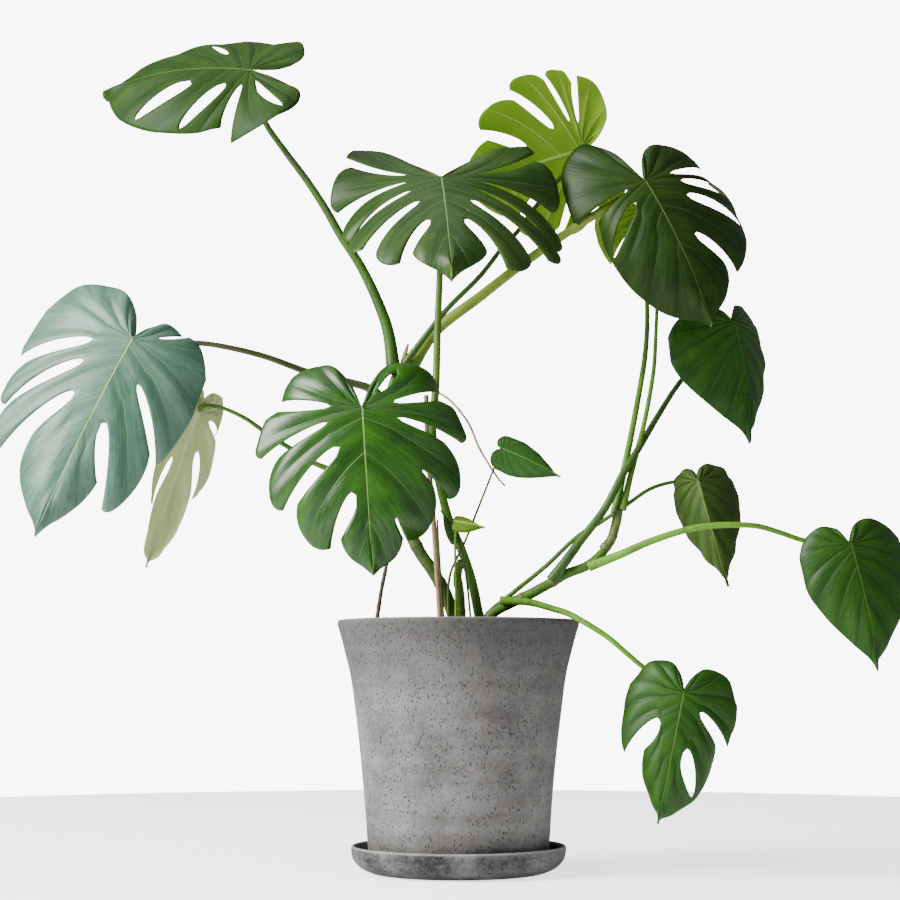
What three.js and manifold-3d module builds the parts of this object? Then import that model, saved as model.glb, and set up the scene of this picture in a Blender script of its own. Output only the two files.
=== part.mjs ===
// Potted monstera: a fibre-clay pot on its saucer, soil, a bamboo stake, two climbing stems
// and sixteen leaves on their stalks. Millimetres, +Z up. The origin is on the pot's axis at
// the saucer's underside, +X is to the plant's right seen from its front, and the front is -Y.

import * as THREE from "three";
import { mergeVertices } from "three/addons/utils/BufferGeometryUtils.js";
import Module from "manifold-3d";

const wasm = await Module();
wasm.setup();

// Driving dimensions

const GAP = 0.3; // between pieces that touch
const ROUND = 36; // sides of the pot and the saucer

const SAUCER_HEIGHT = 32;
const SAUCER_RADIUS = 127.5;
const SAUCER_FLOOR = 11.7;
const POT_BOTTOM = SAUCER_FLOOR + GAP;
const POT_TOP = 297;
const POT_WALL = 12;
const POT_FLOOR = 16; // thickness of the pot's base
const DRAIN_RADIUS = 12;
const SOIL_TOP = 272;
const STEM_DEPTH = 30; // how far a stem runs down into the soil
const BLADE = 1.6; // thickness of a leaf blade

// Grid of a leaf half: lines from the notch to the tip, crossed at shares of the way from the
// midrib to the margin. A hole closes at RIM at the latest.
const RIM = 0.93;
const LARGE_GRID = { lines: 20, shares: [0, 0.25, 0.5, 0.75, RIM, 1] };
const SMALL_GRID = { lines: 10, shares: [0, 0.5, 1] };
const SLIT_LINES = 20; // slit places are counted on this many lines

// Colours

const COLOURS = {
  clay: 0x8c8786,
  saucer: 0x5f5f5f,
  soil: 0x2e2119,
  bamboo: 0xb89a6c,
  stem: 0x5c7a33,
  root: 0x3d2f2a,
  green: 0x2f5a2a,
  dark: 0x1f3f20,
  blue: 0x5f8478,
  bright: 0xa4c63a,
  pale: 0xcfd39a,
};

const group = new THREE.Group();

function addMesh(name, geometry, colour, roughness) {
  const material = new THREE.MeshStandardMaterial({ color: colour, roughness, metalness: 0 });
  const mesh = new THREE.Mesh(geometry, material);
  mesh.name = name;
  group.add(mesh);
  return mesh;
}

// Solids for cutting and joining

function toSolid(geometry) {
  const bare = geometry.clone();
  bare.deleteAttribute("normal");
  bare.deleteAttribute("uv");
  const merged = mergeVertices(bare, 1e-4);
  return new wasm.Manifold(
    new wasm.Mesh({
      numProp: 3,
      vertProperties: new Float32Array(merged.attributes.position.array),
      triVerts: new Uint32Array(merged.index.array),
    }),
  );
}

function toGeometry(solid) {
  const mesh = solid.getMesh();
  const geometry = new THREE.BufferGeometry();
  geometry.setAttribute("position", new THREE.BufferAttribute(mesh.vertProperties, 3));
  geometry.setIndex(new THREE.BufferAttribute(mesh.triVerts, 1));
  geometry.computeVertexNormals();
  return geometry;
}

function largestPiece(solid) {
  const pieces = solid.decompose();
  return pieces.reduce((best, piece) => (piece.volume() > best.volume() ? piece : best));
}

// The pot, its saucer and the soil

function turned(profile, sides = ROUND) {
  const points = profile.map(([radius, height]) => new THREE.Vector2(radius, height));
  return new THREE.LatheGeometry(points, sides).rotateX(Math.PI / 2);
}

// Outer radius of the pot at chosen heights: nearly straight below, flared to the rim
const POT_OUTLINE = [
  [104, POT_BOTTOM],
  [107.5, 32],
  [110, 73],
  [116.5, 139],
  [122, 184],
  [128, 230],
  [134.5, 255],
  [143, 284],
  [145, POT_TOP - 4],
  [141, POT_TOP],
];

function potRadius(height) {
  const above = POT_OUTLINE.findIndex(([, level]) => level >= height);
  const [r0, z0] = POT_OUTLINE[above - 1];
  const [r1, z1] = POT_OUTLINE[above];
  return r0 + ((r1 - r0) * (height - z0)) / (z1 - z0);
}

function potGeometry() {
  const inside = [POT_TOP - 4, 255, 230, 139, POT_BOTTOM + POT_FLOOR];
  const wall = inside.map((height) => [potRadius(height) - POT_WALL, height]);
  const profile = [
    [DRAIN_RADIUS, POT_BOTTOM],
    ...POT_OUTLINE,
    [136, POT_TOP],
    ...wall,
    [DRAIN_RADIUS, POT_BOTTOM + POT_FLOOR],
    [DRAIN_RADIUS, POT_BOTTOM],
  ];
  return turned(profile);
}

function saucerGeometry() {
  return turned([
    [0, 0],
    [102, 0],
    [116, 7],
    [125, 17],
    [SAUCER_RADIUS, SAUCER_HEIGHT - 3],
    [SAUCER_RADIUS - 2, SAUCER_HEIGHT],
    [SAUCER_RADIUS - 4.5, SAUCER_HEIGHT - 1],
    [SAUCER_RADIUS - 7, 20],
    [113, SAUCER_FLOOR],
    [0, SAUCER_FLOOR],
  ]);
}

function soilGeometry() {
  const levels = [POT_BOTTOM + POT_FLOOR + GAP, 139, 230, 255, SOIL_TOP];
  const wall = levels.map((height) => [potRadius(height) - POT_WALL - GAP, height]);
  return turned([[0, levels[0]], ...wall, [0, SOIL_TOP + 3]]);
}

// Stems and stalks: a round tube that tapers along a smooth route

const tubes = [];

function tubeGeometry({ route, radii, sides, steps }, extra = 0) {
  const curve = new THREE.CatmullRomCurve3(route.map((point) => new THREE.Vector3(...point)));
  const frames = curve.computeFrenetFrames(steps, false);
  const positions = [];
  const index = [];
  for (let step = 0; step <= steps; step++) {
    const along = step / steps;
    const centre = curve.getPointAt(along);
    const radius = radii[0] + (radii[1] - radii[0]) * along + extra;
    for (let side = 0; side < sides; side++) {
      const angle = (2 * Math.PI * side) / sides;
      const point = centre
        .clone()
        .addScaledVector(frames.normals[step], radius * Math.cos(angle))
        .addScaledVector(frames.binormals[step], radius * Math.sin(angle));
      positions.push(...point.toArray());
    }
  }
  const ring = (step, side) => step * sides + (side % sides);
  for (let step = 0; step < steps; step++) {
    for (let side = 0; side < sides; side++) {
      const corners = [
        ring(step, side),
        ring(step, side + 1),
        ring(step + 1, side + 1),
        ring(step + 1, side),
      ];
      index.push(corners[0], corners[1], corners[2], corners[0], corners[2], corners[3]);
    }
  }
  for (let side = 1; side < sides - 1; side++) {
    index.push(ring(0, 0), ring(0, side + 1), ring(0, side));
    index.push(ring(steps, 0), ring(steps, side), ring(steps, side + 1));
  }
  const geometry = new THREE.BufferGeometry();
  geometry.setAttribute("position", new THREE.Float32BufferAttribute(positions, 3));
  geometry.setIndex(index);
  return geometry;
}

function nearby(one, other) {
  const reach = 2 * Math.max(...one.radii, ...other.radii);
  const boxOf = (tube) =>
    new THREE.Box3().setFromPoints(tube.route.map((point) => new THREE.Vector3(...point)));
  return boxOf(one).expandByScalar(reach).intersectsBox(boxOf(other).expandByScalar(reach));
}

const THICK_STEM = 2.6; // radius above which a stem has eight sides in place of six
const STEPS_PER_POINT = 1.5; // lengths of stem to each point of its route
const FEWEST_STEPS = 5;

// Adds a tube, cut back to a fine gap where it meets the tubes made before it
function addTube(name, route, radii, colour = COLOURS.stem) {
  const sides = Math.max(...radii) > THICK_STEM ? 8 : 6;
  const steps = Math.max(FEWEST_STEPS, Math.ceil(STEPS_PER_POINT * (route.length - 1)));
  const tube = { route, radii, sides, steps };
  let solid = toSolid(tubeGeometry(tube));
  for (const other of tubes) {
    if (nearby(tube, other)) {
      solid = solid.subtract(toSolid(tubeGeometry(other, GAP)));
    }
  }
  tubes.push(tube);
  addMesh(name, toGeometry(largestPiece(solid)), colour, 0.5);
}

// A stem that grows out of the soil starts below its surface
function rooted(route, x, y, depth = STEM_DEPTH) {
  return [[x, y, SOIL_TOP - depth], [x, y, SOIL_TOP], ...route];
}

// Leaf blades

// Half outline of a leaf from the notch at its stalk round to its tip, in shares of the
// half width and of the length. Places behind the stalk are shares of the lobe's own length.
const LOBED_HALF = [
  [0.0, 0.0],
  [0.12, -0.62],
  [0.34, -1.0],
  [0.72, -0.82],
  [0.97, 0.02],
  [1.0, 0.3],
  [0.9, 0.58],
  [0.62, 0.82],
  [0.26, 0.95],
  [0.0, 1.0],
];
const HEART_HALF = [
  [0.0, 0.0],
  [0.14, -0.7],
  [0.42, -1.0],
  [0.78, -0.7],
  [0.98, 0.08],
  [0.97, 0.32],
  [0.76, 0.54],
  [0.44, 0.75],
  [0.16, 0.9],
  [0.0, 1.0],
];
// A broad leaf whose lobes by the stalk reach far back and out
const WIDE_HALF = [
  [0.0, 0.0],
  [0.12, -0.45],
  [0.42, -0.95],
  [0.86, -1.0],
  [1.02, -0.25],
  [1.04, 0.2],
  [0.96, 0.5],
  [0.68, 0.78],
  [0.3, 0.93],
  [0.0, 1.0],
];
const VEINS_START = 0.42; // share of the half outline whose veins all leave the stalk's end
const VEIN_CROWDING = 2.6; // how much the other veins crowd towards the stalk

const EVEN_SHARE = 0.63; // share of the way out where a slit has its stated width
const LOBE_HOLLOW = 0.1; // how far the corner of a lobe nearer the stalk is drawn in

function outlineCurve(points) {
  return new THREE.SplineCurve(points.map(([across, along]) => new THREE.Vector2(across, along)));
}

const LOBED_CURVE = outlineCurve(LOBED_HALF);
const HEART_CURVE = outlineCurve(HEART_HALF);
const WIDE_CURVE = outlineCurve(WIDE_HALF);

function leafOutline(leaf, side) {
  const own = side > 0 ? leaf.rightOutline : leaf.leftOutline;
  return own ?? (leaf.slits ? LOBED_CURVE : HEART_CURVE);
}

// How far a slit or hole has opened at a share of the way from midrib to margin. It is in
// shares of the half outline, so it falls towards the margin where the veins spread apart.
function opening({ from, to, width }, share) {
  const through = (share - from) / (to - from);
  if (through <= 0 || through >= 1) {
    return 0;
  }
  const spreading = EVEN_SHARE / share;
  return width * spreading * Math.sqrt(Math.sin(Math.PI * through));
}

// Place on the flat leaf: across from the midrib and along it, both in millimetres
function flatPlace(leaf, side, line, share) {
  const half = side > 0 ? leaf.right : leaf.left;
  const edge = leafOutline(leaf, side).getPoint(line);
  const edgeAlong = edge.y * (edge.y < 0 ? leaf.back : leaf.length);
  const past = Math.max(0, (line - VEINS_START) / (1 - VEINS_START));
  const start = leaf.length * Math.pow(past, VEIN_CROWDING);
  const edgeAcross = edge.x * half;
  const bendAcross = 0.55 * edgeAcross;
  const bendAlong = start + 0.3 * (edgeAlong - start);
  const near = (1 - share) * (1 - share);
  const middle = 2 * share * (1 - share);
  const far = share * share;
  return {
    across: middle * bendAcross + far * edgeAcross,
    along: near * start + middle * bendAlong + far * edgeAlong,
  };
}

// Bends the flat leaf: an arch along the midrib, and each half folded and curled down, less so
// behind the stalk where the leaf lifts its back lobes
function bentPlace(leaf, side, across, along) {
  const arch = THREE.MathUtils.degToRad(leaf.arch ?? 20) / leaf.length;
  const turn = arch * along;
  const [foldDegrees, curlDegrees] = side > 0 ? leaf.rightDroop : leaf.leftDroop;
  const behind = Math.min(1, Math.max(0, -along / leaf.back));
  const fold = THREE.MathUtils.degToRad(foldDegrees - (leaf.backLift ?? 0) * behind);
  const curl = THREE.MathUtils.degToRad(curlDegrees || 0.5) / (side > 0 ? leaf.right : leaf.left);
  const outward = (Math.sin(fold + curl * across) - Math.sin(fold)) / curl;
  const drop = (Math.cos(fold) - Math.cos(fold + curl * across)) / curl;
  const forward = Math.sin(turn) / arch - drop * Math.sin(turn);
  const down = (1 - Math.cos(turn)) / arch + drop * Math.cos(turn);
  return new THREE.Vector3(-side * outward, forward, -down);
}

function bladeGeometry(leaf) {
  const { lines, shares } = leaf.grid;
  const steps = shares.length - 1;
  const slits = leaf.slits ?? [];
  const positions = [];
  const index = [];
  for (const side of [-1, 1]) {
    const cuts = slits
      .filter((slit) => slit.side === side)
      .map((slit) => ({ ...slit, line: Math.round((slit.at * lines) / SLIT_LINES) }))
      .sort((a, b) => a.line - b.line);
    const bounds = [0, ...cuts.map((cut) => cut.line), lines];
    const reaches = (side > 0 ? leaf.rightReach : leaf.leftReach) ?? [];
    const joined = Math.max(0, ...cuts.map((cut) => cut.from));
    for (let lobe = 0; lobe + 1 < bounds.length; lobe++) {
      const first = bounds[lobe];
      const last = bounds[lobe + 1];
      const corner = (line, step) => {
        const share = shares[step];
        const before = lobe > 0 ? opening(cuts[lobe - 1], share) : 0;
        const after = lobe < cuts.length ? opening(cuts[lobe], share) : 0;
        const within = (line - first) / (last - first);
        const hollowed = lobe > 0 && cuts[lobe - 1].to > 1;
        const hollow = hollowed ? LOBE_HOLLOW * Math.pow(1 - within, 2) : 0;
        const reach = (reaches[lobe] ?? 1) - hollow;
        const start = first / lines + before;
        const end = last / lines - after;
        const stretch = 1 + ((reach - 1) * Math.max(0, share - joined)) / (1 - joined);
        const place = flatPlace(leaf, side, start + (end - start) * within, share * stretch);
        positions.push(...bentPlace(leaf, side, place.across, place.along).toArray());
        return positions.length / 3 - 1;
      };
      for (let line = first; line < last; line++) {
        for (let step = 0; step < steps; step++) {
          const a = corner(line, step);
          const b = corner(line + 1, step);
          const c = corner(line + 1, step + 1);
          const d = corner(line, step + 1);
          const faces = side > 0 ? [a, b, c, a, c, d] : [a, c, b, a, d, c];
          index.push(...faces);
        }
      }
    }
  }
  const sheet = new THREE.BufferGeometry();
  sheet.setAttribute("position", new THREE.Float32BufferAttribute(positions, 3));
  sheet.setIndex(index);
  return thickened(mergeVertices(sheet, 0.02));
}

// Gives an open sheet its thickness: the sheet, its underside and a wall along every free edge
function thickened(sheet) {
  const points = sheet.attributes.position;
  const count = points.count;
  const faces = [];
  for (let at = 0; at < sheet.index.count; at += 3) {
    const face = [0, 1, 2].map((offset) => sheet.index.getX(at + offset));
    if (new Set(face).size === 3) {
      faces.push(face);
    }
  }
  const normals = Array.from({ length: count }, () => new THREE.Vector3());
  const corner = (at) => new THREE.Vector3().fromBufferAttribute(points, at);
  const edges = new Map();
  for (const [a, b, c] of faces) {
    const normal = corner(b).sub(corner(a)).cross(corner(c).sub(corner(a)));
    for (const at of [a, b, c]) {
      normals[at].add(normal);
    }
    for (const [from, to] of [[a, b], [b, c], [c, a]]) {
      edges.set(`${from}-${to}`, [from, to]);
    }
  }
  const positions = [];
  for (const half of [BLADE / 2, -BLADE / 2]) {
    for (let at = 0; at < count; at++) {
      const shift = normals[at].clone().normalize().multiplyScalar(half);
      positions.push(...corner(at).add(shift).toArray());
    }
  }
  const index = [];
  for (const [a, b, c] of faces) {
    index.push(a, b, c, a + count, c + count, b + count);
  }
  for (const [from, to] of edges.values()) {
    if (!edges.has(`${to}-${from}`)) {
      index.push(to, from, from + count, to, from + count, to + count);
    }
  }
  const geometry = new THREE.BufferGeometry();
  geometry.setAttribute("position", new THREE.Float32BufferAttribute(positions, 3));
  geometry.setIndex(index);
  geometry.computeVertexNormals();
  return geometry;
}

// Turns a leaf to its place. Facing is the compass turn of its upper side from the front, to
// the right; lift tips that side up towards the sky; spin swings the tip sideways in its plane.
function leafBasis({ facing, lift, spin }) {
  const [turn, tip, swing] = [facing, lift, spin].map(THREE.MathUtils.degToRad);
  const level = new THREE.Vector3(Math.sin(turn), -Math.cos(turn), 0);
  const up = new THREE.Vector3(0, 0, 1);
  const face = level.clone().multiplyScalar(Math.cos(tip)).addScaledVector(up, Math.sin(tip));
  const slope = level.clone().multiplyScalar(Math.sin(tip)).addScaledVector(up, -Math.cos(tip));
  const side = new THREE.Vector3().crossVectors(face, slope);
  const aim = slope.clone().multiplyScalar(Math.cos(swing)).addScaledVector(side, Math.sin(swing));
  const right = new THREE.Vector3().crossVectors(face, aim);
  return { face, matrix: new THREE.Matrix4().makeBasis(right.negate(), aim, face.clone()) };
}

function addLeaf(name, leaf) {
  const { face, matrix } = leafBasis(leaf);
  const blade = addMesh(name, bladeGeometry(leaf), leaf.colour, 0.35);
  matrix.setPosition(...leaf.at);
  matrix.decompose(blade.position, blade.quaternion, blade.scale);
  return face;
}

// A leaf on its stalk: the stalk ends just behind the blade
function addStalkedLeaf(name, leaf) {
  const [thick, thin] = leaf.stalk;
  const { face } = leafBasis(leaf);
  const end = new THREE.Vector3(...leaf.at).addScaledVector(face, -(thin + BLADE / 2 + GAP));
  addTube(`${name}_stalk`, [...leaf.route, end.toArray()], [thick, thin], leaf.stalkColour);
  addLeaf(`${name}_leaf`, { grid: LARGE_GRID, ...leaf });
}

const RIGHT = 1;
const LEFT = -1;

// A slit or hole: where on the half outline, how far from the midrib it starts and ends
// (over 1 is open at the margin), and its half width in shares of the half outline
function cut(side, at, from, to, width = 0.02) {
  return { side, at, from, to, width };
}

// The made pieces

addMesh("saucer", saucerGeometry(), COLOURS.saucer, 0.9);
addMesh("pot", potGeometry(), COLOURS.clay, 0.9);

// Stems, the stake and the aerial roots

const MAIN_STEM = rooted(
  [[-14, 4, 325], [-32, 12, 358], [-46, 20, 379], [-71, 35, 432], [-86, 45, 495], [-88, 50, 546],
    [-81, 52, 590], [-72, 50, 612]],
  0,
  0,
);
const CENTRE_SHOOT = rooted([[3, -22, 301], [2, -24, 325], [-1, -27, 350], [4, -30, 367]], 8, -22);
const SIDE_STEM = rooted(
  [[37, -30, 301], [62, -38, 316], [76, -42, 322], [112, -48, 341], [128, -50, 350],
    [151, -52, 359], [169, -52, 374]],
  24,
  -26,
);

addTube("main_stem", MAIN_STEM, [8, 6]);
addTube("stake", rooted([[-28, -8, 391], [-37, -2, 508], [-39, 2, 570]], -21, -13, 150), [3.5, 3.5],
  COLOURS.bamboo);
addTube("centre_shoot", CENTRE_SHOOT, [7, 5]);
addTube("side_stem", SIDE_STEM, [7, 5.5]);
addTube("side_sheath", [[171, -51, 378], [180, -48, 390], [186, -44, 408], [190, -40, 425]],
  [5.5, 5]);
addTube("dark_root", rooted([[-94, 26, 330], [-87, 30, 367], [-79, 36, 420], [-76, 42, 450]],
  -101, 22), [3, 2.2], COLOURS.root);
addTube("loose_root", [[-72, 44, 585], [-22, 32, 576], [10, 20, 542], [27, 14, 504], [49, 8, 468],
  [57, 6, 459]], [1.8, 1.4], COLOURS.bamboo);

// Leaves, each with its stalk's route from the stem to the blade

addStalkedLeaf("upper_centre", {
  at: [-21, -10, 838], facing: 0, lift: 54, spin: 4, length: 190, left: 142, right: 150, back: 64,
  arch: 25, leftDroop: [4, 30], rightDroop: [4, 32], backLift: 26, colour: COLOURS.green,
  leftOutline: WIDE_CURVE, rightOutline: WIDE_CURVE,
  leftReach: [1, 1, 0.95, 1, 1, 0.95], rightReach: [1, 1.05, 1.1, 1.15, 1.1, 0.95],
  slits: [
    cut(LEFT, 7, 0.3, 1.3, 0.015), cut(LEFT, 10, 0.25, 1.3), cut(LEFT, 13, 0.25, 1.3),
    cut(LEFT, 15, 0.25, 1.3), cut(LEFT, 17, 0.3, 1.3, 0.015),
    cut(RIGHT, 7, 0.3, 1.3, 0.015), cut(RIGHT, 10, 0.25, 1.3), cut(RIGHT, 13, 0.25, 1.3),
    cut(RIGHT, 15, 0.25, 1.3), cut(RIGHT, 17, 0.3, 1.3, 0.015),
  ],
  stalk: [6, 3.5],
  route: rooted([[25, -6, 302], [16, -8, 345], [4, -8, 381], [-10, -6, 414], [-22, -4, 459],
    [-29, -4, 502], [-31, -4, 530], [-27, -6, 581], [-25, -8, 651], [-22, -8, 728]], 31, -4),
});

addStalkedLeaf("top_left", {
  at: [-260, 20, 983], facing: 0, lift: 48, spin: -105, length: 212, left: 105, right: 108, back: 66,
  arch: 30, leftDroop: [-4, 15], rightDroop: [14, 26], backLift: 20, colour: COLOURS.green,
  leftReach: [0.88, 1], rightReach: [1.15, 1.15, 1, 1, 1],
  slits: [
    cut(RIGHT, 6, 0.3, RIM, 0.02), cut(RIGHT, 9, 0.25, 1.3), cut(RIGHT, 12, 0.25, RIM, 0.025),
    cut(RIGHT, 15, 0.3, RIM, 0.025), cut(LEFT, 13, 0.35, 0.7, 0.012),
  ],
  stalk: [7, 3],
  route: [[-80, 44, 610], [-87, 42, 657], [-101, 40, 696], [-122, 38, 739], [-147, 35, 777],
    [-164, 32, 807], [-188, 30, 844], [-217, 28, 883], [-242, 24, 920]],
});

addStalkedLeaf("dark_upper_right", {
  at: [232, 20, 842], facing: 5, lift: 18, spin: 26, length: 198, left: 95, right: 142, back: 68,
  arch: 35, leftDroop: [6, 30], rightDroop: [6, 35], colour: COLOURS.dark,
  leftReach: [1.25, 1, 1], rightReach: [0.78, 1, 1, 1, 0.95],
  slits: [
    cut(LEFT, 9, 0.25, 1.3, 0.012), cut(LEFT, 12, 0.25, RIM, 0.025),
    cut(RIGHT, 9, 0.25, 1.3), cut(RIGHT, 11, 0.3, RIM, 0.025), cut(RIGHT, 13, 0.3, RIM, 0.02),
    cut(RIGHT, 16, 0.3, 1.3, 0.015),
  ],
  stalk: [7, 4.5],
  route: [[-58, 54, 612], [-30, 55, 656], [28, 55, 702], [71, 55, 736], [129, 50, 777],
    [180, 38, 808], [215, 30, 827]],
});

addStalkedLeaf("backlit_top", {
  at: [160, 84, 899], facing: 180, lift: 22, spin: 74, length: 158, left: 105, right: 122, back: 42,
  arch: 15, leftDroop: [4, 20], rightDroop: [4, 20], colour: COLOURS.bright,
  slits: [
    cut(RIGHT, 8, 0.3, 1.3), cut(RIGHT, 10, 0.3, 1.3), cut(RIGHT, 13, 0.3, 1.3),
    cut(RIGHT, 16, 0.3, 1.3), cut(LEFT, 9, 0.3, 1.3), cut(LEFT, 12, 0.3, 1.3),
    cut(LEFT, 15, 0.3, 1.3),
  ],
  stalk: [3.5, 2.5],
  route: [[-62, 38, 620], [-15, 32, 680], [27, 32, 723], [57, 40, 763], [76, 48, 785],
    [97, 58, 817], [133, 68, 862]],
});

addStalkedLeaf("far_left", {
  at: [-388, -60, 629], facing: -5, lift: 12, spin: -25, length: 255, left: 140, right: 108,
  back: 48, arch: 15, leftDroop: [5, 20], rightDroop: [8, 25], colour: COLOURS.blue,
  leftReach: [1.1, 1.08, 1.05, 0.95], rightReach: [0.85, 1.02, 1, 0.88],
  slits: [
    cut(LEFT, 11, 0.3, 1.3, 0.028), cut(LEFT, 13, 0.3, 1.3), cut(LEFT, 15, 0.3, 1.3),
    cut(RIGHT, 6, 0.4, 1.2, 0.01), cut(RIGHT, 13, 0.3, 1.3, 0.015),
    cut(RIGHT, 16, 0.25, 1.3),
  ],
  stalk: [4.5, 2.8],
  route: [[-96, 47, 575], [-109, 42, 584], [-182, 25, 601], [-232, 0, 616], [-269, -20, 623],
    [-306, -36, 627], [-346, -46, 626]],
});

addStalkedLeaf("pale_hanging", {
  at: [-319, 30, 555], facing: 195, lift: 8, spin: 18, length: 200, left: 55, right: 55, back: 26,
  arch: 20, leftDroop: [35, 25], rightDroop: [35, 25], colour: COLOURS.pale,
  slits: [
    cut(LEFT, 10, 0.3, 1.3, 0.03), cut(LEFT, 14, 0.3, 1.3, 0.03), cut(RIGHT, 11, 0.3, 1.3, 0.03),
    cut(RIGHT, 15, 0.3, 1.3, 0.03),
  ],
  stalk: [3.8, 2.2],
  route: [[-94, 46, 483], [-121, 45, 477], [-168, 42, 487], [-207, 36, 509], [-231, 24, 523],
    [-258, 4, 541], [-284, -10, 552], [-306, 2, 557]],
});

addStalkedLeaf("front", {
  at: [-113, -90, 542], facing: 0, lift: 8, spin: 4, length: 192, left: 128, right: 126, back: 62,
  arch: 20, leftDroop: [3, 20], rightDroop: [3, 25], colour: COLOURS.green,
  leftReach: [1, 1.05, 1.02, 1, 0.95], rightReach: [0.9, 1, 1, 1, 0.95],
  slits: [
    cut(LEFT, 8, 0.3, 1.3, 0.025), cut(LEFT, 11, 0.3, 1.3), cut(LEFT, 14, 0.25, 1.3),
    cut(LEFT, 17, 0.25, 1.3), cut(RIGHT, 5, 0.35, 0.8, 0.02), cut(RIGHT, 8, 0.3, 1.3),
    cut(RIGHT, 11, 0.3, 1.3), cut(RIGHT, 14, 0.6, 1.3, 0.008), cut(RIGHT, 17, 0.6, 1.3, 0.008),
  ],
  stalk: [4, 3],
  route: [[-85, 36, 519], [-88, 15, 535], [-94, -20, 546], [-102, -55, 548]],
});

addStalkedLeaf("hidden_upper", {
  at: [238, 128, 830], facing: 10, lift: 15, spin: 15, length: 125, left: 68, right: 70, back: 35,
  arch: 20, leftDroop: [5, 20], rightDroop: [5, 20], colour: COLOURS.bright,
  slits: [cut(LEFT, 13, 0.4, 1.3), cut(RIGHT, 13, 0.4, 1.3)],
  stalk: [4, 2.5],
  route: [[186, -38, 424], [197, -30, 470], [206, -20, 508], [218, 0, 561], [233, 48, 628],
    [245, 136, 707], [244, 158, 779]],
});

addStalkedLeaf("hidden_small", {
  at: [250, 54, 752], facing: 10, lift: 12, spin: 0, length: 62, left: 27, right: 27, back: 14,
  arch: 20, leftDroop: [15, 20], rightDroop: [15, 20], colour: COLOURS.green, grid: SMALL_GRID,
  stalk: [3.4, 2],
  route: [[196, -46, 432], [203, -42, 460], [213, -32, 495], [224, -20, 533], [238, 2, 598],
    [246, 44, 651], [251, 70, 707]],
});

addStalkedLeaf("right_heart", {
  at: [349, 78, 674], facing: 30, lift: 12, spin: 9, length: 151, left: 91, right: 91, back: 30,
  arch: 25, leftDroop: [22, 15], rightDroop: [22, 15], colour: COLOURS.dark, grid: SMALL_GRID,
  stalk: [5, 2.8],
  route: [[113, -57, 347], [126, -57, 364], [142, -54, 386], [172, -52, 425], [194, -48, 466],
    [216, -32, 501], [246, 34, 548], [280, 100, 598], [322, 124, 650]],
});

addStalkedLeaf("folded_hanging", {
  at: [283, -52, 461], facing: -19, lift: 8, spin: 15, length: 128, left: 52, right: 58, back: 22,
  arch: 20, leftDroop: [30, 15], rightDroop: [42, 15], colour: COLOURS.dark, grid: SMALL_GRID,
  stalk: [3.2, 2.2],
  route: rooted([[36, -14, 304], [53, -18, 319], [68, -22, 331], [104, -26, 360], [143, -30, 396],
    [168, -32, 411], [198, -30, 431], [230, -17, 453], [255, -3, 462], [274, -10, 464], [285, -34, 463]],
    22, -10),
});

addStalkedLeaf("far_right", {
  at: [451, -105, 381], facing: 8, lift: 12, spin: 12, length: 145, left: 64, right: 84, back: 30,
  arch: 25, leftDroop: [10, 25], rightDroop: [10, 25], colour: COLOURS.dark, grid: SMALL_GRID,
  stalk: [4.5, 2.6],
  route: [[160, -58, 360], [189, -68, 371], [224, -79, 386], [266, -88, 399], [293, -92, 403],
    [320, -92, 404], [347, -86, 403], [375, -78, 396], [400, -74, 388], [425, -78, 384]],
});

addStalkedLeaf("bottom_right", {
  at: [255, -116, 212], facing: -5, lift: 8, spin: -12, length: 150, left: 70, right: 72, back: 34,
  arch: 20, leftDroop: [8, 25], rightDroop: [8, 25], colour: COLOURS.dark,
  leftReach: [1, 0.85], rightReach: [1, 0.98, 0.98],
  slits: [
    cut(LEFT, 14, 0.3, 1.3, 0.045), cut(RIGHT, 12, 0.3, 1.3, 0.03), cut(RIGHT, 16, 0.3, RIM, 0.03),
  ],
  stalk: [4, 2.6],
  route: [[56, -48, 318], [83, -54, 316], [111, -62, 308], [126, -68, 303], [149, -78, 290],
    [173, -84, 274], [194, -84, 256], [212, -82, 241], [234, -88, 226]],
});

addStalkedLeaf("small_centre", {
  at: [53, -34, 500], facing: 5, lift: 15, spin: 66, length: 76, left: 27, right: 25, back: 10,
  arch: 15, leftDroop: [8, 15], rightDroop: [8, 15], colour: COLOURS.green, grid: SMALL_GRID,
  stalk: [1.8, 1.3],
  route: rooted([[-12, -37, 301], [-10, -37, 348], [8, -36, 389], [25, -33, 432], [47, -30, 487]],
    -12, -37),
});

addStalkedLeaf("tiny_bright", {
  at: [-3, -60, 411], facing: 0, lift: 25, spin: 80, length: 34, left: 12, right: 12, back: 4,
  arch: 10, leftDroop: [10, 10], rightDroop: [10, 10], colour: COLOURS.bright, grid: SMALL_GRID,
  stalk: [2, 1.4],
  route: rooted([[-3, -50, 300], [-3, -52, 342], [-4, -54, 383]], -4, -48),
});

addStalkedLeaf("tiny_dark", {
  at: [-2, -46, 391], facing: 10, lift: 20, spin: -159, length: 42, left: 10, right: 10, back: 4,
  arch: 10, leftDroop: [20, 10], rightDroop: [20, 10], colour: COLOURS.dark, grid: SMALL_GRID,
  stalk: [1.6, 1.2],
  route: rooted([[14, -38, 301], [10, -40, 340], [4, -42, 375]], 16, -40),
});

addTube("bare_stalk", rooted([[-18, -30, 301], [-24, -30, 392], [-25, -30, 415]], -16, -32),
  [1.8, 1.3]);

// The dry sheath that wraps the top of the main stem
addTube("papery_sheath", [[-72, 44, 600], [-69, 44, 612], [-66, 43, 626], [-62, 42, 640]], [4, 3],
  COLOURS.bamboo);

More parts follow.
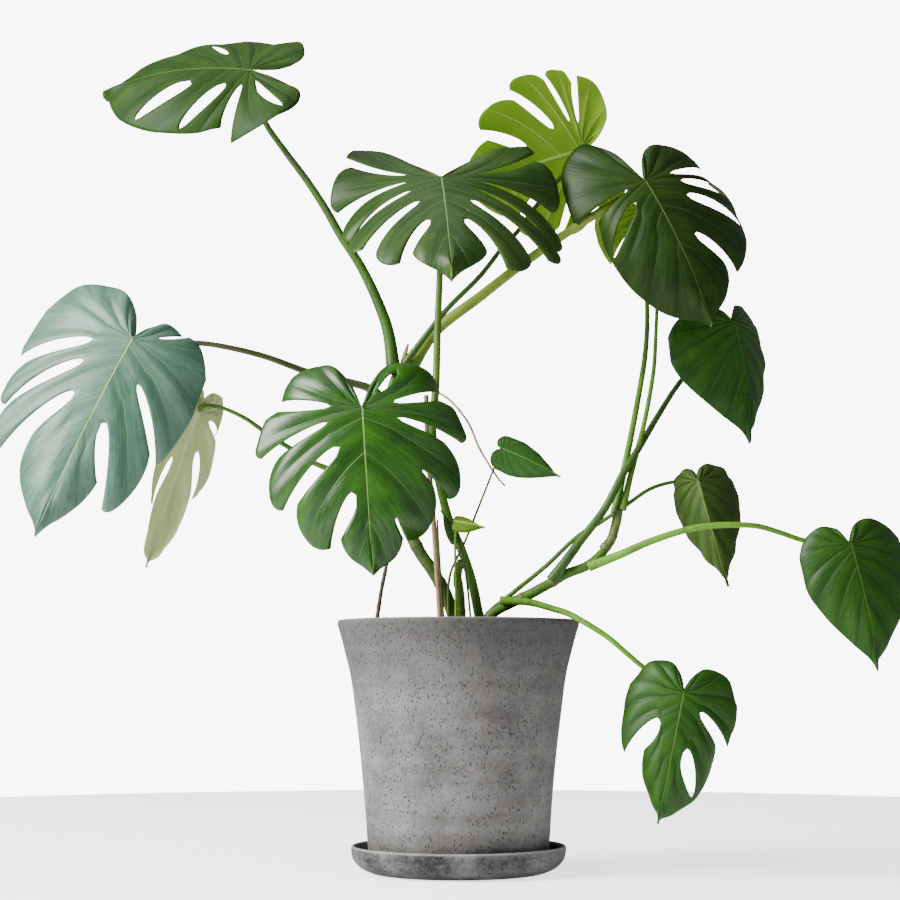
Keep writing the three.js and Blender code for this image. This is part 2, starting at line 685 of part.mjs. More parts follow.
// The soil, with a close hole for everything that grows or stands in it
let soil = toSolid(soilGeometry());
for (const tube of tubes) {
  if (tube.route[0][2] < SOIL_TOP) {
    soil = soil.subtract(toSolid(tubeGeometry(tube, GAP)));
  }
}
addMesh("soil", toGeometry(largestPiece(soil)), COLOURS.soil, 1);

export default group;
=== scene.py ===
import math

import bpy
import numpy as np
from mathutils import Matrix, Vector


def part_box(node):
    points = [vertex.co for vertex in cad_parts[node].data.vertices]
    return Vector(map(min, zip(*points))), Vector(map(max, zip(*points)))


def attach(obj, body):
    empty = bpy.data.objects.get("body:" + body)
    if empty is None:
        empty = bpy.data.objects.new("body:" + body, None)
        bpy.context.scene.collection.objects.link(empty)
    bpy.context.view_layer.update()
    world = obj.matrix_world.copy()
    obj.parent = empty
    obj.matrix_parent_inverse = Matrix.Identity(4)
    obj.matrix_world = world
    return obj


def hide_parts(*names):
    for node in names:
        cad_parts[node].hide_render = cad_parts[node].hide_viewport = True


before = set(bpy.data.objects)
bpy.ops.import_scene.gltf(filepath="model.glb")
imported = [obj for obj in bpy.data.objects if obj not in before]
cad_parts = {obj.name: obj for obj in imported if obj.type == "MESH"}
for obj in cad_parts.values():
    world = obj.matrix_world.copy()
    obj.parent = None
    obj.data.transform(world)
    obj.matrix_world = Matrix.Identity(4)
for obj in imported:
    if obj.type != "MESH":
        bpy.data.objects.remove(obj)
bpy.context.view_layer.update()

MM = 0.001

# The studio: an eye-level camera a little above the pot's foot, looking slightly
# up at the plant, a pale floor, and soft light from a big window to the upper left.

CAMERA_PLACE = (-0.010, -2.335, 0.228)
CAMERA_PITCH = 6.7  # degrees above level
CAMERA_LENS = 77.6
FLOOR_RADIUS = 1.7
FLOOR_COLOUR = (0.93, 0.93, 0.93)
FLOOR_GLOW = 2.0
FLOOR_BOUNCE = (0.26, 0.26, 0.26)
SKY_COLOUR = (0.93, 0.94, 0.95)
SKY_STRENGTH = 0.34
BACKDROP_STRENGTH = 9.0


def deselect_all():
    for obj in bpy.context.selected_objects:
        obj.select_set(False)
    bpy.context.view_layer.objects.active = None


camera_data = bpy.data.cameras.new("camera")
camera_data.lens = CAMERA_LENS
camera = bpy.data.objects.new("camera", camera_data)
camera.location = CAMERA_PLACE
camera.rotation_euler = (math.radians(90 + CAMERA_PITCH), 0, 0)
bpy.context.scene.collection.objects.link(camera)
bpy.context.scene.camera = camera


def soft_light(name, place, target, size, watts, colour):
    data = bpy.data.lights.new(name, "AREA")
    data.shape = "RECTANGLE"
    data.size, data.size_y = size
    data.energy = watts
    data.color = colour
    lamp = bpy.data.objects.new(name, data)
    lamp.location = place
    lamp.rotation_euler = (Vector(target) - Vector(place)).to_track_quat("-Z", "Y").to_euler()
    bpy.context.scene.collection.objects.link(lamp)


soft_light("window", (-2.7, -1.2, 1.9), (0, 0, 0.5), (1.6, 2.2), 370, (1.0, 0.99, 0.97))
soft_light("overhead", (-0.3, -0.2, 2.9), (0, 0, 0.6), (2.2, 1.6), 20, (1.0, 1.0, 1.0))
soft_light("fill", (2.0, -2.4, 1.2), (0, 0, 0.4), (1.6, 1.6), 3, (0.98, 0.99, 1.0))


class Signal:
    """A shader value that Python's arithmetic joins to others through Math nodes."""

    def __init__(self, finish, socket):
        self.finish = finish
        self.socket = socket

    def maths(self, operation, *values):
        return self.finish.node("Math", {"operation": operation}, dict(enumerate(values)))

    def __add__(self, other):
        return self.maths("ADD", self, other)

    def __radd__(self, other):
        return self.maths("ADD", other, self)

    def __sub__(self, other):
        return self.maths("SUBTRACT", self, other)

    def __rsub__(self, other):
        return self.maths("SUBTRACT", other, self)

    def __mul__(self, other):
        return self.maths("MULTIPLY", self, other)

    def __rmul__(self, other):
        return self.maths("MULTIPLY", other, self)

    def __truediv__(self, other):
        return self.maths("DIVIDE", self, other)

    def fraction(self):
        return self.maths("FRACT", self)

    def size(self):
        return self.maths("ABSOLUTE", self)

    def clamped(self):
        return self.maths("MAXIMUM", self.maths("MINIMUM", self, 1.0), 0.0)

    def between(self, low, high):
        """0 below low, 1 above high, and smooth between them."""
        ends = {"Value": self, "From Min": low, "From Max": high}
        return self.finish.node("MapRange", {"interpolation_type": "SMOOTHSTEP"}, ends)


class Finish:
    """A material round one Principled shader, with nodes made by a single method."""

    def __init__(self, name):
        self.material = bpy.data.materials.new(name)
        self.material.use_nodes = True
        self.nodes = self.material.node_tree.nodes
        self.links = self.material.node_tree.links
        self.shader = next(n for n in self.nodes if n.type == "BSDF_PRINCIPLED")

    def node(self, kind, settings=None, inputs=None, output=0):
        made = self.nodes.new("ShaderNode" + kind)
        for key, value in (settings or {}).items():
            setattr(made, key, value)
        for key, value in (inputs or {}).items():
            self.feed(made.inputs[key], value)
        return Signal(self, made.outputs[output])

    def feed(self, socket, value):
        if isinstance(value, Signal):
            self.links.new(value.socket, socket)
        elif isinstance(value, tuple) and len(value) == 3 and socket.type == "RGBA":
            socket.default_value = (*value, 1.0)
        else:
            socket.default_value = value

    def set(self, **values):
        for key, value in values.items():
            title = key.replace("_", " ").title().replace("Ior", "IOR")
            self.feed(self.shader.inputs[title], value)

    def place(self):
        return self.node("TexCoord", output="Object")

    def attribute(self, name):
        return self.node("Attribute", {"attribute_name": name}, output="Fac")

    def noise(self, scale, detail=3.0, roughness=0.5, vector=None):
        sockets = {"Scale": scale, "Detail": detail, "Roughness": roughness}
        return self.node("TexNoise", {}, {"Vector": vector or self.place(), **sockets})

    def pores(self, scale, vector=None):
        return self.node("TexVoronoi", {}, {"Vector": vector or self.place(), "Scale": scale})

    def stretched(self, x, y, z):
        """The piece's own coordinates, scaled along each axis."""
        return self.node("Mapping", {}, {"Vector": self.place(), "Scale": (x, y, z)})

    def mix(self, share, first, second):
        colours = {0: share, 6: first, 7: second}
        return self.node("Mix", {"data_type": "RGBA"}, colours, output=2)

    def let_light_through(self, colour, share):
        """Mixes in a shader of one colour that shows the light behind a thin piece."""
        skin = Signal(self, self.shader.outputs[0])
        thin = self.node("BsdfTranslucent", {}, {"Color": colour})
        blend = self.node("MixShader", {}, {0: share, 1: skin, 2: thin})
        output = next(n for n in self.nodes if n.type == "OUTPUT_MATERIAL")
        self.feed(output.inputs["Surface"], blend)

    def bump(self, height, distance, strength=1.0):
        sockets = {"Height": height, "Distance": distance, "Strength": strength}
        self.feed(self.shader.inputs["Normal"], self.node("Bump", {}, sockets))


def add_piece(name, mesh, finish, node):
    """Stands a finished mesh in for a node of the frame."""
    piece = bpy.data.objects.new(name, mesh)
    bpy.context.scene.collection.objects.link(piece)
    mesh.materials.append(finish.material)
    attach(piece, "root")
    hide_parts(node)
    return piece


def make_mesh(name, points, faces):
    mesh = bpy.data.meshes.new(name)
    mesh.from_pydata([tuple(point) for point in points], [], [tuple(face) for face in faces])
    mesh.update()
    return mesh


deselect_all()
bpy.ops.mesh.primitive_circle_add(vertices=96, radius=FLOOR_RADIUS, fill_type="NGON")
floor = bpy.context.object
floor.name = "floor"
floor_finish = Finish("pale_floor")
floor_seen = floor_finish.node("LightPath", output="Is Camera Ray")
floor_finish.set(
    base_color=FLOOR_COLOUR,
    roughness=0.75,
    emission_color=floor_finish.mix(floor_seen, FLOOR_BOUNCE, FLOOR_COLOUR),
    emission_strength=FLOOR_GLOW,
)
floor.data.materials.append(floor_finish.material)

world = bpy.data.worlds.new("studio")
world.use_nodes = True
sky = world.node_tree.nodes["Background"]
sky.inputs["Color"].default_value = (*SKY_COLOUR, 1.0)
seen = world.node_tree.nodes.new("ShaderNodeLightPath")
strength = world.node_tree.nodes.new("ShaderNodeMapRange")
strength.inputs["To Min"].default_value = SKY_STRENGTH
strength.inputs["To Max"].default_value = BACKDROP_STRENGTH
world.node_tree.links.new(seen.outputs["Is Camera Ray"], strength.inputs["Value"])
world.node_tree.links.new(strength.outputs["Result"], sky.inputs["Strength"])
bpy.context.scene.world = world

# The saucer: a shallow fibre-clay dish, pressed in a mould, darker than the pot and
# blotched by water. Its lip is rubbed pale. The pot stands in it with a narrow gutter.

TURN_STEPS = 128
GAP = 0.3  # what CAD leaves between pieces that touch, in mm
SAUCER_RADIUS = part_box("saucer")[1][0] / MM
SAUCER_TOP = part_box("saucer")[1][2] / MM
POT_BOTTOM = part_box("pot")[0][2] / MM
POT_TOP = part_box("pot")[1][2] / MM
SAUCER_FLOOR = POT_BOTTOM - GAP


def rounded(points, steps=4):
    """A profile with its corners rounded by Chaikin's corner cutting."""
    places = np.array(points, float)
    for _ in range(steps):
        start = places[:-1]
        end = places[1:]
        cut = np.stack([0.75 * start + 0.25 * end, 0.25 * start + 0.75 * end], 1).reshape(-1, 2)
        places = np.vstack([places[:1], cut, places[-1:]])
    return places


def turned_mesh(name, profile, wobble):
    """Spins a profile of radius and height, in mm, about the pot's axis.

    Its roundness is then a little uneven, by about the wobble in mm."""
    deselect_all()
    outline = make_mesh(name, [(r * MM, 0, z * MM) for r, z in profile], [])
    outline.edges.add(len(profile) - 1)
    for index, edge in enumerate(outline.edges):
        edge.vertices = (index, index + 1)
    obj = bpy.data.objects.new(name, outline)
    bpy.context.scene.collection.objects.link(obj)
    bpy.context.view_layer.objects.active = obj
    obj.select_set(True)
    bpy.ops.object.mode_set(mode="EDIT")
    bpy.ops.mesh.select_all(action="SELECT")
    bpy.ops.mesh.spin(
        steps=TURN_STEPS, angle=2 * math.pi, center=(0, 0, 0), axis=(0, 0, 1), dupli=False
    )
    bpy.ops.mesh.select_all(action="SELECT")
    bpy.ops.mesh.remove_doubles(threshold=2e-6)
    bpy.ops.mesh.normals_make_consistent(inside=False)
    bpy.ops.object.mode_set(mode="OBJECT")
    bpy.ops.object.shade_smooth_by_angle(angle=math.radians(50))
    mesh = obj.data
    for vertex in mesh.vertices:
        angle = math.atan2(vertex.co.y, vertex.co.x)
        height = vertex.co.z / MM
        swell = wobble * (math.sin(2 * angle + 0.6) + 0.6 * math.sin(5 * angle + height / 23))
        radius = math.hypot(vertex.co.x, vertex.co.y)
        if radius > 0.01:
            vertex.co.x *= 1 + swell * MM / radius
            vertex.co.y *= 1 + swell * MM / radius
    bpy.data.objects.remove(obj)
    return mesh


SAUCER_PROFILE = [
    (0.0, 0.0),
    (96, 0.0),
    (103, 0.5),
    (117, 6.5),
    (SAUCER_RADIUS - 2, 16),
    (SAUCER_RADIUS - 0.4, SAUCER_TOP - 6),
    (SAUCER_RADIUS - 0.6, SAUCER_TOP - 0.3),
    (SAUCER_RADIUS - 4.8, SAUCER_TOP - 0.2),
    (SAUCER_RADIUS - 6, SAUCER_TOP - 8),
    (SAUCER_RADIUS - 10, 15),
    (SAUCER_RADIUS - 16, SAUCER_FLOOR),
    (0.0, SAUCER_FLOOR),
]


def clay_finish(name, dark, light, worn, darkening_top, lip_low, lip_high, spread, top_shade=0.0):
    """Fired fibre clay: cloudy grey, sandy, with small pits darkened by painted shade, and pale
    where it is rubbed.

    Heights are in metres. A smaller spread gives harder blotches, and the last share paints shade
    over the upper wall, below the lip."""
    finish = Finish(name)
    height = finish.node("SeparateXYZ", {}, {0: finish.place()}, output="Z")
    cloud = finish.noise(9.0, 6.0, 0.62)
    mottle = finish.noise(38.0, 5.0, 0.65)
    sand = finish.noise(900.0, 3.0, 0.7)
    streak = finish.noise(14.0, 4.0, 0.6, finish.stretched(1.0, 1.0, 0.12))
    band = finish.noise(60.0, 5.0, 0.7, finish.stretched(0.06, 0.06, 1.0))
    tone = cloud * 0.5 + mottle * 0.3 + streak * 0.2 + band * 0.35 + sand * 0.15 - 0.25
    tone = tone.between(0.5 - spread, 0.5 + spread)
    colour = finish.mix(tone, dark, light)
    drawn_out = finish.stretched(1.0, 1.0, 0.5)
    pores = finish.pores(320.0, drawn_out)
    fine_pores = finish.pores(560.0, drawn_out)
    thin_out = finish.noise(70.0, 2.0)
    pit = (1.0 - pores.between(0.16, 0.30)) * thin_out.between(0.36, 0.56)
    fine_pit = (1.0 - fine_pores.between(0.18, 0.32)) * thin_out.between(0.25, 0.55)
    # Painted shade: the pits and fine pits are darkened towards the dark colour, as shade inside
    # the holes.
    colour = finish.mix(pit * 0.75, colour, tuple(0.2 * value for value in dark))
    colour = finish.mix(fine_pit * 0.6, colour, tuple(0.35 * value for value in dark))
    grit = finish.noise(240.0, 3.0, 0.7)
    colour = finish.mix(grit.between(0.45, 0.75) * 0.45, colour, light)
    # Darker towards the bottom, in blotches, up to the given height.
    low_darkening = (1.0 - height.between(darkening_top * 0.35, darkening_top)) * mottle.between(0.38, 0.62)
    colour = finish.mix(low_darkening * 0.75, colour, tuple(0.3 * value for value in dark))
    # Painted shade: the upper wall below the lip is darkened in streaks, by the last share.
    painted_top_shade = height.between(lip_high - 0.11, lip_high - 0.02) * (streak * 0.9 + 0.5).clamped()
    colour = finish.mix(painted_top_shade * top_shade, colour, tuple(0.5 * value for value in dark))
    rubbed = height.between(lip_low, lip_high) * (mottle * 0.7 + 0.45).clamped()
    colour = finish.mix(rubbed * 0.7, colour, worn)
    finish.set(
        base_color=colour,
        roughness=(0.78 + sand * 0.2 + pit * 0.1).clamped(),
        specular_ior_level=0.28,
    )
    relief = sand * 0.3 + mottle * 0.4 + band * 0.25 - pit * 1.6 - fine_pit * 0.7
    finish.bump(relief, 0.0012, 0.8)
    return finish


saucer_finish = clay_finish(
    "saucer_clay",
    dark=(0.018, 0.017, 0.017),
    light=(0.160, 0.155, 0.150),
    worn=(0.36, 0.35, 0.34),
    darkening_top=0.010,
    lip_low=(SAUCER_TOP - 3.5) * MM,
    lip_high=(SAUCER_TOP - 0.6) * MM,
    spread=0.13,
)
saucer_mesh = turned_mesh("saucer_dish", rounded(SAUCER_PROFILE, 3), wobble=0.35)
add_piece("saucer_dish", saucer_mesh, saucer_finish, "saucer")

# The pot: grey fibre clay cast in a mould, nearly straight below and flared to a soft
# rim. Air pits and sand show all over it, with painted shade in the pits. It is darker
# towards its foot, its upper wall carries painted shade, and its rim is rubbed.

POT_WALL = 12
POT_FLOOR = 16
DRAIN_RADIUS = 12
POT_OUTLINE = [
    (101, POT_BOTTOM),
    (105.5, POT_BOTTOM + 3),
    (107.5, 32),
    (110, 73),
    (116.5, 139),
    (122, 184),
    (128, 230),
    (134.5, 255),
    (142.2, 284),
    (144.8, POT_TOP - 6),
    (144.2, POT_TOP - 0.6),
    (140, POT_TOP),
]


def pot_radius(height):
    heights = [z for _, z in POT_OUTLINE]
    radii = [r for r, _ in POT_OUTLINE]
    return float(np.interp(height, heights, radii))


POT_INSIDE = [(pot_radius(z) - POT_WALL, z) for z in (284, 255, 230, 139, POT_BOTTOM + POT_FLOOR)]
POT_PROFILE = [
    (DRAIN_RADIUS, POT_BOTTOM),
    *POT_OUTLINE,
    (134.5, POT_TOP - 0.2),
    (133.2, POT_TOP - 5),
    *POT_INSIDE,
    (DRAIN_RADIUS, POT_BOTTOM + POT_FLOOR),
    (DRAIN_RADIUS, POT_BOTTOM),
]
pot_finish = clay_finish(
    "pot_clay",
    dark=(0.070, 0.066, 0.064),
    light=(0.215, 0.207, 0.200),
    worn=(0.25, 0.238, 0.228),
    darkening_top=0.060,
    lip_low=(POT_TOP - 3.0) * MM,
    lip_high=(POT_TOP + 0.4) * MM,
    spread=0.24,
    top_shade=0.6,
)
pot_mesh = turned_mesh("clay_pot", rounded(POT_PROFILE, 3), wobble=0.25)
add_piece("clay_pot", pot_mesh, pot_finish, "pot")

# The soil: dark crumbly potting mix that fills the pot to a little below its rim,
# heaped slightly round the stems. It is poured in loose and settles unevenly.

SOIL_HEAP = 3  # how much higher the soil is at its middle, in mm
SOIL_GAP = 0.4
SOIL_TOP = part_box("soil")[1][2] / MM - SOIL_HEAP
SOIL_RINGS = 60
SOIL_SECTORS = 180


def crumbs(x, y):
    """Height of the loose surface, in mm, as a sum of waves of many sizes and directions."""
    height = 0.0
    for step in range(1, 10):
        pitch = 46.0 / step**1.25
        lean = 2.4 * step
        wave_x = np.sin((x * math.cos(lean) + y * math.sin(lean)) * 2 * math.pi / pitch + step)
        wave_y = np.cos((y * math.cos(lean) - x * math.sin(lean)) * 2 * math.pi / pitch + lean)
        height = height + wave_x * wave_y * 1.7 / step**0.75
    return height


def ring_faces(rings, sides, first=0):
    """Quads that join each ring of points to the next one."""
    faces = []
    for ring in range(rings - 1):
        for side in range(sides):
            inner = first + ring * sides + side
            after = first + ring * sides + (side + 1) % sides
            faces.append((inner, inner + sides, after + sides, after))
    return faces


def soil_mesh():
    """A crumbly top in rings about its middle, then a plain skirt and base inside the pot."""
    angles = [2 * math.pi * sector / SOIL_SECTORS for sector in range(SOIL_SECTORS)]
    top_radius = pot_radius(SOIL_TOP) - POT_WALL - SOIL_GAP
    points = [(0, 0, SOIL_TOP + SOIL_HEAP)]
    for ring in range(1, SOIL_RINGS + 1):
        radius = top_radius * ring / SOIL_RINGS
        edge = min(1.0, (top_radius - radius) / 6)
        for angle in angles:
            x, y = radius * math.cos(angle), radius * math.sin(angle)
            lift = SOIL_HEAP * (1 - radius / top_radius) + float(crumbs(x, y)) * edge
            points.append((x, y, SOIL_TOP + lift))
    skirt = (255, 230, 139, POT_BOTTOM + POT_FLOOR + SOIL_GAP)
    for height in skirt:
        radius = pot_radius(height) - POT_WALL - SOIL_GAP
        points += [(radius * math.cos(angle), radius * math.sin(angle), height) for angle in angles]
    faces = [(0, 1 + sector, 1 + (sector + 1) % SOIL_SECTORS) for sector in range(SOIL_SECTORS)]
    faces += ring_faces(SOIL_RINGS + len(skirt), SOIL_SECTORS, first=1)
    faces.append(tuple(range(len(points) - 1, len(points) - 1 - SOIL_SECTORS, -1)))
    mesh = make_mesh("potting_soil", np.array(points) * MM, faces)
    mesh.shade_smooth()
    return mesh


soil_finish = Finish("potting_soil")
soil_grain = soil_finish.noise(160.0, 5.0, 0.7)
soil_clump = soil_finish.noise(45.0, 3.0, 0.6)
soil_fleck = 1.0 - soil_finish.pores(150.0).between(0.05, 0.2)
soil_share = soil_grain.between(0.3, 0.7)
soil_colour = soil_finish.mix(soil_share, (0.010, 0.007, 0.005), (0.055, 0.036, 0.022))
bark_bits = soil_fleck * soil_clump.between(0.5, 0.6)
soil_colour = soil_finish.mix(bark_bits, soil_colour, (0.16, 0.11, 0.07))
soil_finish.set(base_color=soil_colour, roughness=(0.85 + soil_grain * 0.15).clamped())
soil_finish.bump(soil_grain + soil_clump * 0.5, 0.004)
add_piece("potting_soil", soil_mesh(), soil_finish, "soil")

# The stake: a thin bamboo cane pushed down into the soil. It is straight-grained, with
# a swollen joint every hand's width, and weathered to a purple brown near its top.


def smooth_route(points, steps):
    """Even steps along a Catmull-Rom curve through the points, with knots by distance."""
    knots = np.array(points, float)
    before = 2 * knots[0] - knots[1]
    after = 2 * knots[-1] - knots[-2]
    knots = np.vstack([before, knots, after])
    gaps = np.sqrt(np.linalg.norm(np.diff(knots, axis=0), axis=1)) + 1e-9
    route = []
    for index in range(1, len(knots) - 2):
        p0, p1, p2, p3 = knots[index - 1 : index + 3]
        g0, g1, g2 = gaps[index - 1 : index + 2]
        leave = ((p1 - p0) / g0 - (p2 - p0) / (g0 + g1) + (p2 - p1) / g1) * g1
        arrive = ((p2 - p1) / g1 - (p3 - p1) / (g1 + g2) + (p3 - p2) / g2) * g1
        share = np.linspace(0, 1, 24, endpoint=False)[:, None]
        cubic = 2 * p1 - 2 * p2 + leave + arrive
        square = -3 * p1 + 3 * p2 - 2 * leave - arrive
        route.append(cubic * share**3 + square * share**2 + leave * share + p1)
    route.append(knots[-2][None, :])
    fine = np.vstack(route)
    length = np.concatenate([[0], np.cumsum(np.linalg.norm(np.diff(fine, axis=0), axis=1))])
    even = np.linspace(0, length[-1], steps + 1)
    return np.stack([np.interp(even, length, fine[:, axis]) for axis in range(3)], 1), length[-1]


def carried_frames(route):
    """A pair of cross directions at each step, carried along without twist."""
    ahead = np.gradient(route, axis=0)
    ahead /= np.linalg.norm(ahead, axis=1, keepdims=True)
    start = np.array([0.0, -1.0, 0.0])
    if abs(ahead[0] @ start) > 0.9:
        start = np.array([1.0, 0.0, 0.0])
    across = []
    for direction in ahead:
        start = start - direction * (start @ direction)
        start /= np.linalg.norm(start)
        across.append(start)
    across = np.array(across)
    return ahead, across, np.cross(ahead, across)


def stem_mesh(name, points, radius_at, sides, step, oval):
    """A closed round stem in mm along a route, with attributes for its finish.

    radius_at takes the distance from the start and the whole length, both in mm."""
    _, length = smooth_route(points, 10)
    steps = max(12, int(length / step))
    route, length = smooth_route(points, steps)
    _, across, upward = carried_frames(route)
    distance = np.linspace(0, length, steps + 1)
    radii = np.array([radius_at(d, length) for d in distance])
    angle = np.linspace(0, 2 * math.pi, sides, endpoint=False)
    shape = np.ones((steps + 1, sides))
    if oval:
        shape = np.array([[oval(d, length, a) for a in angle] for d in distance])
    ring = (
        across[:, None, :] * (np.cos(angle)[None, :, None])
        + upward[:, None, :] * (np.sin(angle)[None, :, None])
    ) * (radii[:, None] * shape)[:, :, None]
    points_mm = (route[:, None, :] + ring).reshape(-1, 3)
    ends = np.array([route[0], route[-1]])
    faces = [face[::-1] for face in ring_faces(steps + 1, sides)]
    first = len(points_mm)
    for side in range(sides):
        after = (side + 1) % sides
        faces.append((first, after, side))
        faces.append((first + 1, steps * sides + side, steps * sides + after))
    mesh = make_mesh(name, np.vstack([points_mm, ends]) * MM, faces)
    mesh.shade_smooth()
    along = np.concatenate([np.repeat(distance, sides), [0, length]])
    store(mesh, "along_mm", along)
    store(mesh, "along_share", along / length)
    return mesh


def store(mesh, name, values):
    attribute = mesh.attributes.new(name, "FLOAT", "POINT")
    attribute.data.foreach_set("value", np.asarray(values, np.float32))


def add_stem(name, finish, node, points, radius_at, sides, step, oval=None):
    mesh = stem_mesh(name, points, radius_at, sides, step, oval)
    add_piece(name, mesh, finish, node)


CANE_JOINT = 74.0  # mm between the joints of the cane


def cane_radius(distance, length):
    nearest = abs((distance + 20) % CANE_JOINT - CANE_JOINT / 2)
    return 3.35 - 0.3 * distance / length + 0.45 * math.exp(-((nearest / 2.2) ** 2))


STAKE_ROUTE = [(-21, -13, 122), (-21, -13, 272), (-28, -8, 391), (-37, -2, 508), (-39, 2, 569.5)]
cane_finish = Finish("bamboo_cane")
cane_share = cane_finish.attribute("along_share")
cane_grain = cane_finish.noise(120.0, 4.0, 0.6, cane_finish.stretched(9.0, 9.0, 0.35))
cane_colour = cane_finish.mix(cane_grain.between(0.3, 0.7), (0.30, 0.17, 0.08), (0.62, 0.42, 0.23))
cane_top = cane_share.between(0.55, 0.85) * 0.7
cane_colour = cane_finish.mix(cane_top, cane_colour, (0.10, 0.05, 0.05))
cane_finish.set(base_color=cane_colour, roughness=0.45 + cane_grain * 0.2)
cane_finish.bump(cane_grain, 0.0006)
add_stem("bamboo_cane", cane_finish, "stake", STAKE_ROUTE, cane_radius, 20, 1.5)

# The main stem and its shoots: thick green stems of a climbing aroid, smooth between
# swollen brown rings where old leaves grew. They lean out of the soil and are grown
# as round lengths that taper upward.

SOIL_DEPTH = 30  # how far a stem is rooted below the soil's top, in mm
ROOT_TOP = 272


def rooted(route, x, y):
    return [(x, y, ROOT_TOP - SOIL_DEPTH), (x, y, ROOT_TOP), *route]


def tapered(thick, thin, rings=(), swell=0.12, ring_width=2.4, foot=0.0, tip=0.0):
    """A taper with swollen rings, a thicker foot and a swollen tip."""

    def radius_at(distance, length):
        radius = thick + (thin - thick) * distance / length
        for ring in rings:
            radius += swell * thick * math.exp(-(((distance - ring) / ring_width) ** 2))
        radius += foot * thick * math.exp(-(((distance - SOIL_DEPTH) / 14) ** 2))
        radius += tip * thin * math.exp(-(((length - distance - 9) / 8) ** 2))
        return radius - 0.12

    return radius_at


def bark_finish(name, young, old, ring_colour, ring_places, ring_width, foot_share=0.2):
    """Waxy stem skin: green, freckled pale, brown at the rings and towards the foot."""
    finish = Finish(name)
    along = finish.attribute("along_mm")
    share = finish.attribute("along_share")
    grain = finish.noise(260.0, 4.0, 0.6, finish.stretched(1.0, 1.0, 0.14))
    cloud = finish.noise(45.0, 4.0, 0.6)
    freckle = 1.0 - finish.pores(420.0).between(0.10, 0.30)
    colour = finish.mix((grain * 0.6 + cloud * 0.6).between(0.35, 0.85), young, old)
    colour = finish.mix(freckle * 0.35, colour, tuple(2.2 * value + 0.03 for value in young))
    foot = (1.0 - share.between(0.0, foot_share)) * cloud.between(0.25, 0.6)
    colour = finish.mix(foot * 0.8, colour, ring_colour)
    for ring_place in ring_places:
        near = 1.0 - (along - ring_place).size().between(ring_width * 0.4, ring_width)
        colour = finish.mix(near * 0.85, colour, ring_colour)
    finish.set(base_color=colour, roughness=(0.48 + cloud * 0.25).clamped(), coat_weight=0.06,
               specular_ior_level=0.3)
    finish.bump(grain * 0.7 + cloud * 0.6 - freckle * 0.15, 0.0009)
    return finish


def knotty(distance, length, angle):
    """An old stem's section: a little oval and uneven, and turning as it climbs."""
    oval = 0.045 * math.cos(2 * angle + distance / 60)
    return 1 + oval + 0.02 * math.sin(3 * angle + distance / 25)


MAIN_RINGS = (58, 104, 160, 222, 290)
main_stem_finish = bark_finish(
    "main_stem_skin",
    young=(0.060, 0.130, 0.008),
    old=(0.026, 0.058, 0.006),
    ring_colour=(0.110, 0.082, 0.030),
    ring_places=MAIN_RINGS,
    ring_width=2.2,
    foot_share=0.3,
)
add_stem(
    "main_stem_skin", main_stem_finish, "main_stem",
    rooted(
        [(-14, 4, 325), (-32, 12, 358), (-46, 20, 379), (-71, 35, 432), (-86, 45, 495),
         (-88, 50, 546), (-81, 52, 590), (-72, 50, 612)],
        0, 0,
    ),
    tapered(8, 6.2, MAIN_RINGS, swell=0.1, ring_width=3.2, foot=0.12), 32, 1.2,
    oval=knotty,
)

SIDE_RINGS = (108, 149)
side_stem_finish = bark_finish(
    "side_stem_skin",
    young=(0.072, 0.165, 0.008),
    old=(0.030, 0.080, 0.005),
    ring_colour=(0.150, 0.100, 0.045),
    ring_places=SIDE_RINGS,
    ring_width=2.4,
)
add_stem(
    "side_stem_skin", side_stem_finish, "side_stem",
    rooted(
        [(37, -30, 301), (62, -38, 316), (76, -42, 322), (112, -48, 341), (128, -50, 350),
         (151, -52, 359), (169, -52, 374), (177, -50, 387)],
        24, -26,
    ),
    tapered(7.1, 5.4, SIDE_RINGS, swell=0.14, ring_width=2.6), 32, 1.2,
)

SHOOT_RINGS = (66, 98)
shoot_finish = bark_finish(
    "shoot_skin",
    young=(0.085, 0.185, 0.010),
    old=(0.036, 0.090, 0.006),
    ring_colour=(0.15, 0.11, 0.04),
    ring_places=SHOOT_RINGS,
    ring_width=2.0,
)
add_stem(
    "centre_shoot_skin", shoot_finish, "centre_shoot",
    rooted([(3, -22, 301), (2, -24, 325), (-1, -27, 350), (4, -30, 367)], 8, -22),
    tapered(7, 5, SHOOT_RINGS, swell=0.1), 28, 1.2,
)

# The sheaths and aerial roots: dry tan sheaths wrap the tops of both stems, a brown
# root runs down beside the main stem and a thin tan one hangs loose across the plant.


def fibre_finish(name, light, dark, roughness):
    """Dry plant fibre, streaked lengthwise."""
    finish = Finish(name)
    streak = finish.noise(300.0, 5.0, 0.65, finish.stretched(1.0, 1.0, 0.1))
    blotch = finish.noise(60.0, 3.0, 0.6)
    colour = finish.mix((streak * 0.8 + blotch * 0.4).between(0.35, 0.85), dark, light)
    finish.set(base_color=colour, roughness=(roughness + streak * 0.15).clamped())
    finish.bump(streak + blotch * 0.4, 0.0010)
    return finish


def furled(distance, length, angle):
    """The overlapping edge of a sheath rolled round a stem."""
    return 1 + 0.10 * math.cos(angle) - 0.10 * math.exp(-(((angle - 2.4) / 0.35) ** 2))


